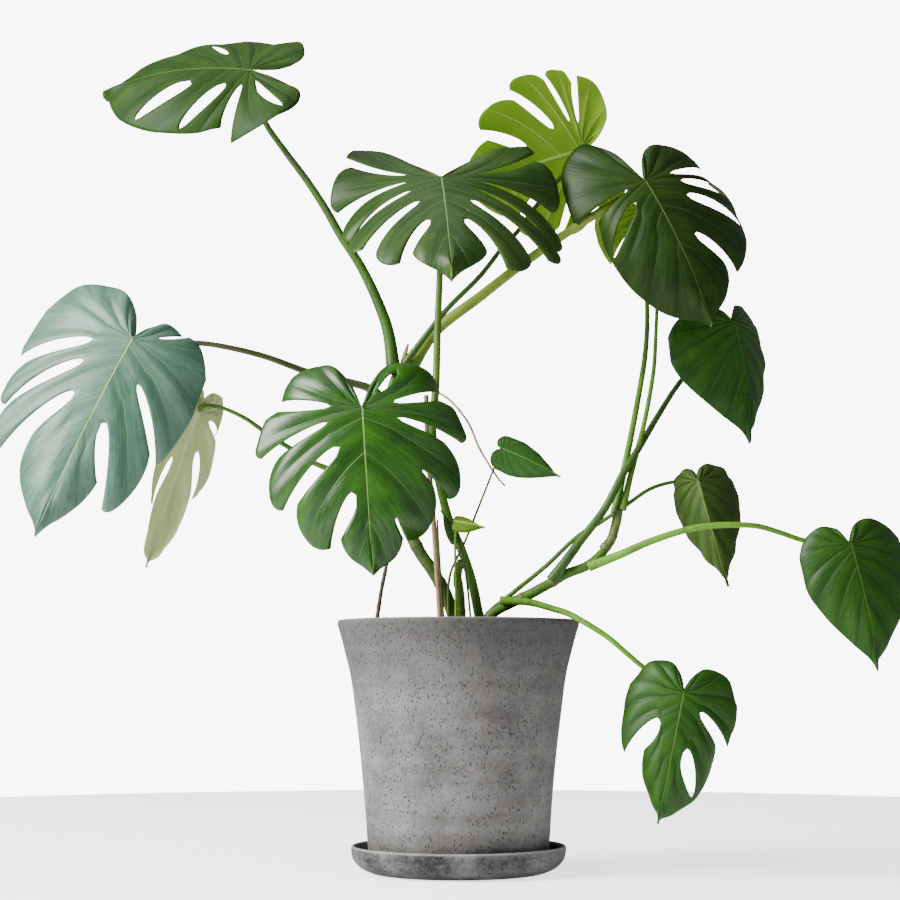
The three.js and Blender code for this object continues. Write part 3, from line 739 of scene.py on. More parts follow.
green_sheath_finish = fibre_finish("green_sheath", (0.13, 0.19, 0.035), (0.05, 0.08, 0.014), 0.45)
add_stem(
    "side_sheath_wrap", green_sheath_finish, "side_sheath",
    [(171, -51, 378), (180, -48, 390), (186, -44, 408), (190, -40, 425)],
    tapered(6.3, 5.2, (4,), swell=0.1, tip=0.1), 32, 1.0, furled,
)
dry_finish = fibre_finish("dry_sheath", (0.52, 0.38, 0.20), (0.22, 0.14, 0.065), 0.7)
add_stem(
    "papery_sheath_wrap", dry_finish, "papery_sheath",
    [(-72, 44, 600), (-69, 44, 612), (-66, 43, 626), (-62, 42, 640)],
    lambda distance, length: 4.1 - 2.6 * (distance / length) ** 2, 28, 0.8, furled,
)


ROOT_KNOTS = 0.08  # height of a root's knots, as a share of its radius


def knobbly(thick, thin):
    """A root's radius: tapered, with small knots along it."""

    def radius_at(distance, length):
        radius = thick + (thin - thick) * distance / length
        bumps = math.sin(distance / 3.1) * math.sin(distance / 7.3 + 1)
        return radius * (1 + ROOT_KNOTS * bumps) - 0.1

    return radius_at


root_finish = fibre_finish("aerial_root", (0.125, 0.080, 0.050), (0.040, 0.026, 0.020), 0.75)
add_stem(
    "brown_root", root_finish, "dark_root",
    rooted([(-94, 26, 330), (-87, 30, 367), (-79, 36, 420), (-76, 42, 450)], -101, 22),
    knobbly(3.0, 2.2), 20, 1.2,
)
tan_root_finish = fibre_finish("tan_root", (0.55, 0.38, 0.20), (0.26, 0.16, 0.08), 0.65)
add_stem(
    "hanging_root", tan_root_finish, "loose_root",
    [(-72, 44, 585), (-22, 32, 576), (10, 20, 542), (27, 14, 504), (49, 8, 468), (57, 6, 459)],
    knobbly(1.85, 1.4), 14, 1.2,
)

# How a leaf blade is made: half an outline for each side, side veins that run from the
# midrib to the margin, slits and holes between them, and a fold, curl and arch that bend
# the flat blade. Each blade is a thin closed shell, pleated between its veins.

RIGHT = 1
LEFT = -1
LOBED = [(0, 0), (0.12, -0.62), (0.34, -1), (0.72, -0.82), (0.97, 0.02), (1, 0.3), (0.9, 0.58),
         (0.62, 0.82), (0.26, 0.95), (0, 1)]
HEART = [(0, 0), (0.14, -0.7), (0.42, -1), (0.78, -0.7), (0.98, 0.08), (0.97, 0.32),
         (0.76, 0.54), (0.44, 0.75), (0.16, 0.9), (0, 1)]
WIDE = [(0, 0), (0.12, -0.45), (0.42, -0.95), (0.86, -1), (1.02, -0.25), (1.04, 0.2),
        (0.96, 0.5), (0.68, 0.78), (0.3, 0.93), (0, 1)]
VEINS_START = 0.42  # share of the half outline whose veins all leave the stalk's end
VEIN_CROWDING = 2.6  # how much the other veins crowd towards the stalk
LOBE_HOLLOW = 0.1  # how far the corner of a lobe nearer the stalk is drawn in
LOBE_ROUND = 0.07  # how much the very corners of a lobe are rounded off
RIM = 0.93  # where most holes close, as a share of the way from midrib to margin
OPEN = 1.3  # a hole that runs this far is still wide at the margin
VEIN_SPREAD = 0.55  # how far across and along a side vein has gone at its middle
VEIN_LEAN = 0.3
SLIT_FULLNESS = 1.15
SLIT_LINES = 20  # slits are placed in this many steps round the half outline
GRID_LINES = 5  # rows of the mesh to each of those steps
VEIN_GAP = 2.2  # steps from one side vein to the next
DRIP_TIP = 0.035  # how far the tip is drawn out, in shares of the length and of the outline
BLADE = 0.8  # thickness of a blade in mm
RIB_WIDTH = 2.2
CAD_BLADE = 1.6


def hole(side, at, start, end=RIM, width=0.02):
    """A hole: its place round the outline, and its two ends between midrib and margin."""
    return {"side": side, "at": at, "from": start, "to": end, "width": width}


def slit(side, at, start=0.3, width=0.02):
    """A hole that reaches the margin."""
    return hole(side, at, start, OPEN, width)


def outline_place(points, line):
    """Place on a uniform Catmull-Rom curve through the outline's points."""
    knots = np.array(points, float)
    last = len(knots) - 1
    where = np.clip(np.asarray(line, float), 0, 1) * last
    index = np.minimum(where.astype(int), last - 1)
    share = (where - index)[..., None]
    p0 = knots[np.maximum(index - 1, 0)]
    p1 = knots[index]
    p2 = knots[index + 1]
    p3 = knots[np.minimum(index + 2, last)]
    leave = (p2 - p0) / 2
    arrive = (p3 - p1) / 2
    cubic = 2 * p1 - 2 * p2 + leave + arrive
    square = -3 * p1 + 3 * p2 - 2 * leave - arrive
    return ((cubic * share + square) * share + leave) * share + p1


def blade_place(leaf, side, line, share):
    """Place on the bent blade in mm, in the leaf's own frame: tip along y, upper side up z."""
    half = leaf["right"] if side > 0 else leaf["left"]
    edge = outline_place(leaf["outline"], line)
    edge_along = edge[..., 1] * np.where(edge[..., 1] < 0, leaf["back"], leaf["length"])
    edge_along = edge_along + DRIP_TIP * leaf["length"] * np.exp(-(((1 - line) / DRIP_TIP) ** 2))
    edge_across = edge[..., 0] * half
    past = np.maximum(0, (line - VEINS_START) / (1 - VEINS_START))
    start = leaf["length"] * past**VEIN_CROWDING
    near = (1 - share) ** 2
    middle = 2 * share * (1 - share)
    far = share**2
    across = middle * VEIN_SPREAD * edge_across + far * edge_across
    along = near * start + middle * (start + VEIN_LEAN * (edge_along - start)) + far * edge_along
    arch = math.radians(leaf["arch"]) / leaf["length"]
    turn = arch * along
    fold_degrees, curl_degrees = leaf["right_droop"] if side > 0 else leaf["left_droop"]
    behind = np.clip(-along / leaf["back"], 0, 1)
    fold = np.radians(fold_degrees - leaf["back_lift"] * behind)
    curl = math.radians(curl_degrees) / half
    outward = (np.sin(fold + curl * across) - np.sin(fold)) / curl
    drop = (np.cos(fold) - np.cos(fold + curl * across)) / curl
    forward = np.sin(turn) / arch - drop * np.sin(turn)
    down = (1 - np.cos(turn)) / arch + drop * np.cos(turn)
    return np.stack([-side * outward, forward, -down], -1)


def opening(cut, share):
    """Half width of a slit or hole: round at its ends, and no wider out at the margin."""
    through = np.clip((share - cut["from"]) / (cut["to"] - cut["from"]), 0, 1)
    narrowing = VEIN_SPREAD / np.maximum(share, 0.2)
    return SLIT_FULLNESS * cut["width"] * np.sin(math.pi * through).clip(0, 1) ** 0.5 * narrowing


def share_steps(cuts, steps):
    """Steps from midrib to margin: fine by the midrib, and one at each cut's start."""
    shares = [0, 0.006, 0.012, 0.02, 0.032, 0.05]
    for mark in sorted({cut["from"] for cut in cuts} | {RIM, 1.0}):
        count = max(1, round((mark - shares[-1]) * steps))
        shares += list(np.linspace(shares[-1], mark, count + 1)[1:])
    return np.array(shares)


def upward_of(leaf, side, line, spread, place):
    """Where the blade's upper side faces, from two small steps over it."""
    small = 1e-4
    ahead = np.where(line > 0.5, -small, small)
    round_edge = (blade_place(leaf, side, line + ahead, spread) - place) * np.sign(ahead)[..., None]
    outward = blade_place(leaf, side, line, spread + small) - place
    upward = np.cross(round_edge, outward) * side
    size = np.linalg.norm(upward, axis=-1, keepdims=True)
    upward = np.where(size > 1e-12, upward / np.maximum(size, 1e-12), [0, 0, 1.0])
    return upward, np.linalg.norm(round_edge, axis=-1) / small


def half_blade(leaf, side, grid_lines, steps):
    """One half of the blade as points, quads and finish values.

    The half is made in strips between its cuts, and strips joined at the margin make a lobe."""
    cuts = sorted((c for c in leaf["cuts"] if c["side"] == side), key=lambda c: c["at"])
    share = share_steps(leaf["cuts"], steps)[None, :]
    bounds = [0, *(c["at"] for c in cuts), SLIT_LINES]
    lobe_bounds = [0, *(c["at"] for c in cuts if c["to"] > 1), SLIT_LINES]
    reaches = leaf["right_reach"] if side > 0 else leaf["left_reach"]
    joined = max([0, *(c["from"] for c in cuts)])
    beyond = np.maximum(0, share - joined) / (1 - joined)
    points, faces, values = [], [], []
    count = veins_before = 0
    for strip in range(len(bounds) - 1):
        first, last = bounds[strip], bounds[strip + 1]
        lobe = sum(1 for at in lobe_bounds[1:-1] if at <= first)
        lobe_first, lobe_last = lobe_bounds[lobe], lobe_bounds[lobe + 1]
        veins = max(1, round((last - first) / VEIN_GAP))
        rows = (last - first) * grid_lines + 1
        within = np.linspace(0, 1, rows)[:, None]
        in_lobe = (first + (last - first) * within - lobe_first) / (lobe_last - lobe_first)
        before = opening(cuts[strip - 1], share) if strip > 0 else 0
        after = opening(cuts[strip], share) if strip < len(cuts) else 0
        hollow = 0
        if joined > 0:
            near_corner = LOBE_HOLLOW * (1 - in_lobe) ** 2 if lobe > 0 else 0
            far_corner = LOBE_ROUND * in_lobe**7 if lobe_last < SLIT_LINES else 0
            round_corner = LOBE_ROUND * (1 - in_lobe) ** 7 if lobe > 0 else 0
            hollow = near_corner + far_corner + round_corner
        strips = [n for n in range(len(bounds) - 1) if lobe_first <= bounds[n] < lobe_last]
        centres = [(bounds[n] + bounds[n + 1]) / 2 for n in strips]
        wanted = [reaches[n] if n < len(reaches) else 1 for n in strips]
        reach = np.interp(first + (last - first) * within, centres, wanted) - hollow
        start = first / SLIT_LINES + before
        end = last / SLIT_LINES - after
        line = start + (end - start) * within
        spread = share * (1 + (reach - 1) * beyond) + 0 * line
        place = blade_place(leaf, side, line, spread)
        upward, line_length = upward_of(leaf, side, line, spread, place)
        phase = veins_before + veins * within
        quilt = np.abs(np.cos(math.pi * phase)) ** 0.7
        swell = np.sin(math.pi * np.clip(share, 0, 1) ** 0.7 * 0.86) * (0.45 + 0.55 * share)
        lift = leaf["pleat"] * quilt * swell
        if joined > 0:
            lean = math.sin(2.3 * lobe + leaf["seed"])
            twist = math.cos(1.7 * lobe + 2 * leaf["seed"])
            lift = lift + beyond**2 * LOBE_DROP * (lean - 0.5)
            lift = lift + beyond**2 * LOBE_TWIST * twist * (in_lobe - 0.5)
            lift = lift - beyond**0.8 * LOBE_BOW * (2 * in_lobe - 1) ** 2
        lift = lift - MARGIN_CURL * share**6
        lift = lift + leaf["ripple"] * share**4 * np.sin(line * 41 + leaf["seed"] * 5)
        place = place + upward * lift[..., None]
        pitch = line_length * (end - start) / veins
        grids = np.broadcast_arrays(phase, pitch, share, spread)[:3]
        points.append(place.reshape(-1, 3))
        values.append(np.stack([grid.ravel() for grid in grids], 1))
        index = count + np.arange(spread.size).reshape(spread.shape)
        quads = np.stack([index[:-1, :-1], index[1:, :-1], index[1:, 1:], index[:-1, 1:]], -1)
        faces.append(quads.reshape(-1, 4)[:, ::side])
        count += spread.size
        veins_before += veins
    return np.vstack(points), np.vstack(faces), np.vstack(values)


def leaf_directions(leaf):
    """The leaf's cross, tip and upper directions from its compass facing, lift and spin."""
    turn, tip, swing = (math.radians(leaf[key]) for key in ("facing", "lift", "spin"))
    level = np.array([math.sin(turn), -math.cos(turn), 0])
    up = np.array([0, 0, 1.0])
    face = level * math.cos(tip) + up * math.sin(tip)
    slope = level * math.sin(tip) - up * math.cos(tip)
    side = np.cross(face, slope)
    aim = slope * math.cos(swing) + side * math.sin(swing)
    return -np.cross(face, aim), aim, face


LOBE_DROP = 5.0  # how far lobes hang, twist and bow, and the margin curls under, in mm
LOBE_TWIST = 8.0
LOBE_BOW = 3.5
MARGIN_CURL = 4.0
LEAF_DEFAULTS = {
    "outline": None,
    "arch": 20,
    "back_lift": 0,
    "left_reach": [],
    "right_reach": [],
    "cuts": [],
    "pleat": 3.0,
    "ripple": 1.2,
    "seed": 0.0,
    "small": False,
}


def blade_mesh(name, leaf):
    """Both halves welded along the midrib, given a thickness and a raised rib underneath."""
    grid_lines, steps = (3, 16) if leaf["small"] else (GRID_LINES, 30)
    halves = [half_blade(leaf, side, grid_lines, steps) for side in (LEFT, RIGHT)]
    shift = len(halves[0][0])
    points = np.vstack([halves[0][0], halves[1][0]])
    faces = np.vstack([halves[0][1], halves[1][1] + shift])
    values = np.vstack([halves[0][2], halves[1][2]])
    weld = np.round(points * 200 + 0.137).astype(np.int64)
    _, first, inverse = np.unique(weld, axis=0, return_index=True, return_inverse=True)
    points, values, faces = points[first], values[first], inverse.ravel()[faces]
    faces = [list(dict.fromkeys(face)) for face in faces.tolist()]
    faces = [face for face in faces if len(face) > 2]
    normals = np.zeros_like(points)
    edges = {}
    for face in faces:
        normal = np.zeros(3)
        for start, end in zip(face, face[1:] + face[:1]):
            normal += np.cross(points[start], points[end])
            edges[(start, end)] = True
        normals[face] += normal
    normals /= np.maximum(np.linalg.norm(normals, axis=1, keepdims=True), 1e-12)
    total = len(points)
    rib = np.exp(-((values[:, 2] * leaf["right"] / RIB_WIDTH) ** 2))
    tip_share = np.clip(points[:, 1] / leaf["length"], 0, 1)
    rib_depth = rib * leaf["rib"] * (1 - 0.85 * tip_share)
    top = points + normals * BLADE / 2
    under = points - normals * (BLADE / 2 + rib_depth)[:, None]
    local = np.vstack([top, under])
    cross, aim, face_up = leaf_directions(leaf)
    placed = local[:, :1] * cross + local[:, 1:2] * aim + local[:, 2:] * face_up
    shell = faces + [[at + total for at in reversed(face)] for face in faces]
    for start, end in edges:
        if (end, start) not in edges:
            shell.append([end, start, start + total, end + total])
    mesh = make_mesh(name, (placed + np.array(leaf["at"])) * MM, shell)
    stored = {
        "vein_phase": values[:, 0],
        "vein_pitch": values[:, 1],
        "across_share": values[:, 2],
        "across_mm": np.abs(points[:, 0]),
        "along_share": points[:, 1] / leaf["length"],
    }
    for key, value in stored.items():
        store(mesh, key, np.concatenate([value, value]))
    store(mesh, "upper", np.concatenate([np.ones(total), np.zeros(total)]))
    mesh.shade_smooth()
    return mesh


def leaf_finish(name, dark, light, vein, under, roughness=0.34, glow=0.12, coat=0.06, shine=0.24):
    """Leaf skin: waxy and veined above, paler and duller below, and a little light shines
    through it. The veins are drawn from the blade's own vein attributes, and so are a painted
    shade in the furrows and a painted sheen along the veins."""
    finish = Finish(name)
    phase = finish.attribute("vein_phase")
    pitch = finish.attribute("vein_pitch")
    share = finish.attribute("across_share")
    across = finish.attribute("across_mm")
    along = finish.attribute("along_share")
    upper = finish.attribute("upper").between(0.4, 0.6)
    vein_mm = (phase.fraction() - 0.5).size() * pitch
    vein_line = 1.0 - vein_mm.between(0.1, 0.8)
    vein_line = vein_line * (1.0 - share.between(0.45, 0.95) * 0.85)
    rib_width = 1.5 - along.clamped() * 1.0
    rib = 1.0 - (across / rib_width).between(0.45, 1.0)
    grain = {"X": phase * 7.0, "Y": share * 1.8, "Z": along * 1.2}
    fibre = finish.noise(2.2, 5.0, 0.6, finish.node("CombineXYZ", {}, grain))
    cloud = finish.noise(16.0, 4.0, 0.6)
    fine = finish.noise(380.0, 2.0, 0.5)
    tone = (fibre * 0.7 + cloud * 0.7 - 0.2).between(0.2, 0.8)
    face = finish.mix(tone, dark, light)
    # Painted shade: the furrows along the veins are darkened towards the dark colour, and the
    # ridges between them stay lit.
    pleat = (phase + 0.5).fraction()
    pleat_ridge = pleat.between(0.02, 0.45) * (1.0 - pleat.between(0.55, 0.98))
    face = finish.mix((1.0 - pleat_ridge) * 0.6, face, dark)
    # Painted sheen: a lighter band along each vein, strongest by the midrib.
    painted_vein_sheen = 1.0 - vein_mm.between(0.5, 6.0)
    face = finish.mix(painted_vein_sheen * 0.3 * (1.0 - share.clamped()), face, light)
    face = finish.mix(share.between(0.97, 1.0) * 0.5, face, light)
    face = finish.mix(vein_line * 0.38, face, vein)
    face = finish.mix(rib * 0.8, face, vein)
    bright_vein = tuple(min(1, 1.3 * value + 0.12) for value in under)
    back = finish.mix(tone * 0.55, under, tuple(0.55 * value for value in under))
    wide_vein = (1.0 - vein_mm.between(0.3, 1.6)) * (1.0 - share.between(0.7, 1.0) * 0.8)
    wide_rib = 1.0 - (across / rib_width).between(0.8, 1.8)
    back = finish.mix((wide_vein * 0.65 + wide_rib * 0.9).clamped(), back, bright_vein)
    colour = finish.mix(upper, back, face)
    finish.set(
        base_color=colour,
        roughness=(roughness + cloud * 0.14 + fine * 0.05 + (1.0 - upper) * 0.15).clamped(),
        specular_ior_level=shine,
        coat_weight=upper * coat,
        coat_roughness=0.25,
    )
    relief = fibre * 0.55 + fine * 0.10 - vein_line * 0.9 - rib * 0.9
    finish.bump(relief, 0.0011, 0.9)
    through = tuple(0.6 * low + 0.75 * high for low, high in zip(dark, light))
    finish.let_light_through(through, (1.0 - (wide_vein * 0.5 + wide_rib * 0.5).clamped()) * glow)
    return finish


def add_leaf(name, slot, finish, **shape):
    leaf = {**LEAF_DEFAULTS, **shape}
    for key in ("left_droop", "right_droop"):
        leaf.setdefault(key, leaf.get("droop"))
    leaf["outline"] = leaf["outline"] or (LOBED if leaf["cuts"] else HEART)
    leaf["rib"] = 1.6 if max(leaf["left"], leaf["right"]) > 50 else 0.6  # height in mm
    add_piece(f"{name}_blade", blade_mesh(f"{name}_blade", leaf), finish, f"{name}_leaf")


FLESH = 1.1  # a ripe stalk's girth beside its plain solid's
STALK_FOOT = 7  # how far a stalk's clasping foot reaches into its stem, in mm
FOOT_LENGTH = 45
GROOVE = 0.10  # depth of a stalk's groove, as a share of its radius


def add_stalk(name, finish, at, facing, lift, radii, route):
    """A leaf's stalk: grooved along its upper side, swollen where it meets the blade."""
    face = leaf_directions({"facing": facing, "lift": lift, "spin": 0})[2]
    thick, thin = radii
    end = np.array(at) - face * (thin + CAD_BLADE / 2 + GAP)
    starts_in_soil = route[0][2] < ROOT_TOP
    if not starts_in_soil:
        heading = np.array(route[0], float) - np.array(route[1], float)
        inside = np.array(route[0]) + heading * STALK_FOOT / np.linalg.norm(heading)
        route = [tuple(inside), *route]

    def grooved(distance, length, angle):
        clasp = 0 if starts_in_soil else math.exp(-distance / FOOT_LENGTH)
        groove = GROOVE * math.exp(-(((angle - math.pi / 2) / 0.4) ** 2))
        return 1 - groove + 0.3 * clasp + 0.08 * clasp * math.cos(angle)

    girth = tapered(thick * FLESH, thin * FLESH, tip=0.16)
    points = [*route, tuple(end)]
    add_stem(f"{name}_stem", finish, f"{name}_stalk", points, girth, 18, 2.0, grooved)


def grow_leaf(name, slot, skin, stalk_skin, at, facing, lift, radii, route, **shape):
    """A leaf and its stalk. It faces the compass angle facing, and looks up by lift degrees."""
    add_stalk(name, stalk_skin, at, facing, lift, radii, route)
    add_leaf(name, slot, skin, at=at, facing=facing, lift=lift, **shape)


# The leaf stalks' skins: smooth and waxy, from bright young green to dark and
# purple brown on the old stalks. They are all streaked finely along their length.


STALK_BLUSH = (0.09, 0.05, 0.03)


def stalk_finish(name, young, old, blush_share=0.2):
    finish = Finish(name)
    share = finish.attribute("along_share")
    streak = finish.noise(330.0, 4.0, 0.6, finish.stretched(1.0, 1.0, 0.08))
    cloud = finish.noise(28.0, 3.0, 0.55)
    freckle = 1.0 - finish.pores(480.0).between(0.08, 0.24)
    colour = finish.mix((streak * 0.5 + cloud * 0.7).between(0.35, 0.85), young, old)
    colour = finish.mix(freckle * 0.25, colour, tuple(1.9 * value + 0.03 for value in young))
    colour = finish.mix((cloud + share * 0.3).between(0.55, 0.9) * blush_share, colour, STALK_BLUSH)
    finish.set(
        base_color=colour,
        roughness=(0.40 + cloud * 0.2).clamped(),
        specular_ior_level=0.3,
        coat_weight=0.08,
    )
    finish.bump(streak, 0.0004)
    return finish


green_stalk = stalk_finish("green_stalk", (0.085, 0.205, 0.010), (0.034, 0.100, 0.005))
deep_stalk = stalk_finish("deep_stalk", (0.042, 0.120, 0.006), (0.016, 0.056, 0.003))
dark_stalk = stalk_finish("dark_stalk", (0.042, 0.112, 0.006), (0.016, 0.048, 0.004))
pale_stalk = stalk_finish("pale_stalk", (0.22, 0.33, 0.035), (0.11, 0.19, 0.014), 0.1)
bright_stalk = stalk_finish("bright_stalk", (0.115, 0.290, 0.010), (0.050, 0.150, 0.005))
brown_stalk = stalk_finish("brown_stalk", (0.075, 0.100, 0.016), (0.036, 0.050, 0.012), 0.5)

# The leaf skins: deep waxy greens above and paler, duller greens below. Young leaves
# are yellow green and let more light through, and the yellow green and pale cream skins
# are brightened with painted backlight. The far left one is green with a painted blue-grey
# sky reflection.

mid_green = leaf_finish(
    "mid_green_leaf", (0.003, 0.030, 0.001), (0.036, 0.145, 0.006), (0.17, 0.32, 0.06),
    (0.10, 0.20, 0.035), roughness=0.22, coat=0.16, shine=0.36,
)
young_green = leaf_finish(
    "young_green_leaf", (0.020, 0.090, 0.008), (0.056, 0.170, 0.024), (0.12, 0.28, 0.05),
    (0.13, 0.24, 0.05),
)
grey_green = leaf_finish(
    "grey_green_leaf", (0.008, 0.034, 0.003), (0.052, 0.108, 0.017), (0.20, 0.30, 0.08),
    (0.20, 0.27, 0.05), roughness=0.32, coat=0.06, shine=0.2,
)
glossy_green = leaf_finish(
    "glossy_green_leaf", (0.006, 0.028, 0.002), (0.030, 0.076, 0.007), (0.10, 0.17, 0.03),
    (0.15, 0.23, 0.04), roughness=0.44, coat=0.02, shine=0.12,
)
brown_green = leaf_finish(
    "brown_green_leaf", (0.004, 0.021, 0.001), (0.032, 0.070, 0.004), (0.09, 0.15, 0.03),
    (0.12, 0.18, 0.04), roughness=0.36, coat=0.03, shine=0.16,
)
deep_green = leaf_finish(
    "deep_green_leaf", (0.005, 0.037, 0.001), (0.028, 0.105, 0.003), (0.055, 0.125, 0.012),
    (0.11, 0.19, 0.035), roughness=0.36, coat=0.05, shine=0.2,
)
olive_green = leaf_finish(
    "olive_leaf", (0.010, 0.034, 0.001), (0.058, 0.110, 0.008), (0.12, 0.18, 0.03),
    (0.14, 0.20, 0.04), roughness=0.36,
)
# Painted reflection: the blue grey of this green skin stands for the sky reflected in its wax.
green_painted_sky_sheen = leaf_finish(
    "blue_green_leaf", (0.026, 0.088, 0.052), (0.135, 0.262, 0.190), (0.30, 0.46, 0.10),
    (0.18, 0.29, 0.11), roughness=0.30, coat=0.12, shine=0.3,
)
# Painted light: a real pale cream, made brighter to stand for light shining through.
pale_cream_painted_backlight = leaf_finish(
    "pale_cream_leaf", (0.24, 0.36, 0.10), (0.60, 0.68, 0.36), (0.86, 0.88, 0.62),
    (0.82, 0.86, 0.52), roughness=0.45, glow=0.45, coat=0.0,
)
# Painted light: a real yellow green, made brighter to stand for backlight shining through.
yellow_green_painted_backlight = leaf_finish(
    "yellow_green_leaf", (0.10, 0.24, 0.008), (0.34, 0.54, 0.04), (0.62, 0.78, 0.24),
    (0.30, 0.50, 0.030), roughness=0.38, glow=0.5, coat=0.0,
)

# The upper centre leaf: broad and held nearly level, so its long back lobes spread
# like a crown. Grey green with deep open slits between five pairs of lobes.

grow_leaf(
    "upper_centre", "green_leaf", grey_green, green_stalk, (-21, -10, 838), 0, 54, (6, 3.5),
    rooted([(25, -6, 302), (16, -8, 345), (4, -8, 381), (-10, -6, 414), (-22, -4, 459),
            (-29, -4, 502), (-31, -4, 530), (-27, -6, 581), (-25, -8, 651),
            (-22, -8, 728)], 31, -4),
    spin=4, length=190, left=142, right=150, back=64, arch=25, left_droop=(4, 30),
    right_droop=(4, 32), back_lift=26, outline=WIDE, seed=0.4, left_reach=[1, 1, 0.95, 1, 1, 0.95],
    right_reach=[1, 1.05, 1.1, 1.15, 1.1, 0.95],
    cuts=[
        slit(LEFT, 7, 0.3, 0.015), slit(LEFT, 10, 0.25), slit(LEFT, 13, 0.25, 0.013),
        slit(LEFT, 15, 0.25, 0.013), slit(LEFT, 17, 0.3, 0.015), slit(RIGHT, 7, 0.3, 0.015),
        slit(RIGHT, 10, 0.25), slit(RIGHT, 13, 0.25, 0.013), slit(RIGHT, 15, 0.25, 0.013),
        slit(RIGHT, 17, 0.3, 0.015),
    ],
)

# The top left leaf: the highest one, swung out sideways so that its near half hangs down
# in long slots. A thick green stalk carries it up from the top of the main stem.

grow_leaf(
    "top_left", "green_leaf", glossy_green, deep_stalk, (-260, 20, 983), 0, 48, (7, 3),
    [(-80, 44, 610), (-87, 42, 657), (-101, 40, 696), (-122, 38, 739), (-147, 35, 777),
     (-164, 32, 807), (-188, 30, 844), (-217, 28, 883), (-242, 24, 920)],
    spin=-105, length=212, left=105, right=108, back=66, arch=30, left_droop=(-4, 15),
    right_droop=(14, 26), back_lift=20, seed=1.3, left_reach=[0.88, 1],
    right_reach=[1.15, 1.15, 1, 1, 1],
    cuts=[
        hole(RIGHT, 6, 0.3, RIM, 0.02), slit(RIGHT, 9, 0.25), hole(RIGHT, 12, 0.25, RIM, 0.025),
        hole(RIGHT, 15, 0.3, RIM, 0.025), hole(LEFT, 13, 0.35, 0.7, 0.012),
    ],
)

# The dark upper right leaf: large, old and nearly upright, with few slits and its rows
# of holes closed at the margin. The thick pale stalk crosses behind from the left.

grow_leaf(
    "dark_upper_right", "green_leaf", brown_green, pale_stalk, (232, 20, 842), 5, 18, (7, 4.5),
    [(-58, 54, 612), (-30, 55, 656), (28, 55, 702), (71, 55, 736), (129, 50, 777), (180, 38, 808),
     (215, 30, 827)],
    spin=26, length=198, left=95, right=142, back=68, arch=35, left_droop=(6, 30),
    right_droop=(6, 35), seed=2.1, left_reach=[1.25, 1, 1], right_reach=[0.78, 1, 1, 1, 0.95],
    cuts=[
        slit(LEFT, 9, 0.25, 0.012), hole(LEFT, 12, 0.25, RIM, 0.025), slit(RIGHT, 9, 0.25),
        hole(RIGHT, 11, 0.3, RIM, 0.025), hole(RIGHT, 13, 0.3, RIM, 0.02),
        slit(RIGHT, 16, 0.3, 0.015),
    ],
)

# The backlit top leaf: a young leaf turned away, so its yellow underside shows and the
# light comes through it; part of its brightness is painted backlight. Its stalk is thin and dark.

grow_leaf(
    "backlit_top", "young_leaf", yellow_green_painted_backlight, dark_stalk, (160, 84, 899), 180, 22, (3.5, 2.5),
    [(-62, 38, 620), (-15, 32, 680), (27, 32, 723), (57, 40, 763), (76, 48, 785), (97, 58, 817),
     (133, 68, 862)],
    spin=74, length=158, left=105, right=122, back=42, arch=15, droop=(4, 20), seed=2.9,
    cuts=[
        slit(RIGHT, 8), slit(RIGHT, 10), slit(RIGHT, 13), slit(RIGHT, 16), slit(LEFT, 9),
        slit(LEFT, 12), slit(LEFT, 15),
    ],
)

# The far left leaf: large and waxy, green with a painted blue-grey sky reflection,
# hanging from a long brown-green stalk that leaves the main stem sideways. Its slits open
# between narrow, pointed lobes.

grow_leaf(
    "far_left", "blue_leaf", green_painted_sky_sheen, brown_stalk, (-388, -60, 629), -5, 12, (4.5, 2.8),
    [(-96, 47, 575), (-109, 42, 584), (-182, 25, 601), (-232, 0, 616), (-269, -20, 623),
     (-306, -36, 627), (-346, -46, 626)],
    spin=-25, length=255, left=140, right=108, back=48, arch=15, left_droop=(5, 20),
    right_droop=(8, 25), seed=3.7, left_reach=[1.1, 1.08, 1.05, 0.95],
    right_reach=[0.85, 1.02, 1, 0.88], pleat=3.5,
    cuts=[
        slit(LEFT, 11, 0.3, 0.028), slit(LEFT, 13), slit(LEFT, 15), hole(RIGHT, 6, 0.4, 1.2, 0.01),
        slit(RIGHT, 13, 0.3, 0.015), slit(RIGHT, 16, 0.25),
    ],
)

# The pale hanging leaf: folded along its midrib and seen from behind, so it shows its
# cream underside, made brighter with painted backlight. It hangs on the left from a thin stalk that
# arches over.

grow_leaf(
    "pale_hanging", "pale_leaf", pale_cream_painted_backlight, green_stalk, (-319, 30, 555), 195, 8, (3.8, 2.2),
    [(-94, 46, 483), (-121, 45, 477), (-168, 42, 487), (-207, 36, 509), (-231, 24, 523),
     (-258, 4, 541), (-284, -10, 552), (-306, 2, 557)],
    spin=18, length=200, left=55, right=55, back=26, arch=20, droop=(35, 25), seed=4.2,
    cuts=[
        slit(LEFT, 10, 0.3, 0.03), slit(LEFT, 14, 0.3, 0.03), slit(RIGHT, 11, 0.3, 0.03),
        slit(RIGHT, 15, 0.3, 0.03),
    ],
)

# The front leaf: the nearest to the camera, broad and glossy, hanging straight down. A
# few slits reach its margin on the left, and its lower right stays pleated and whole.

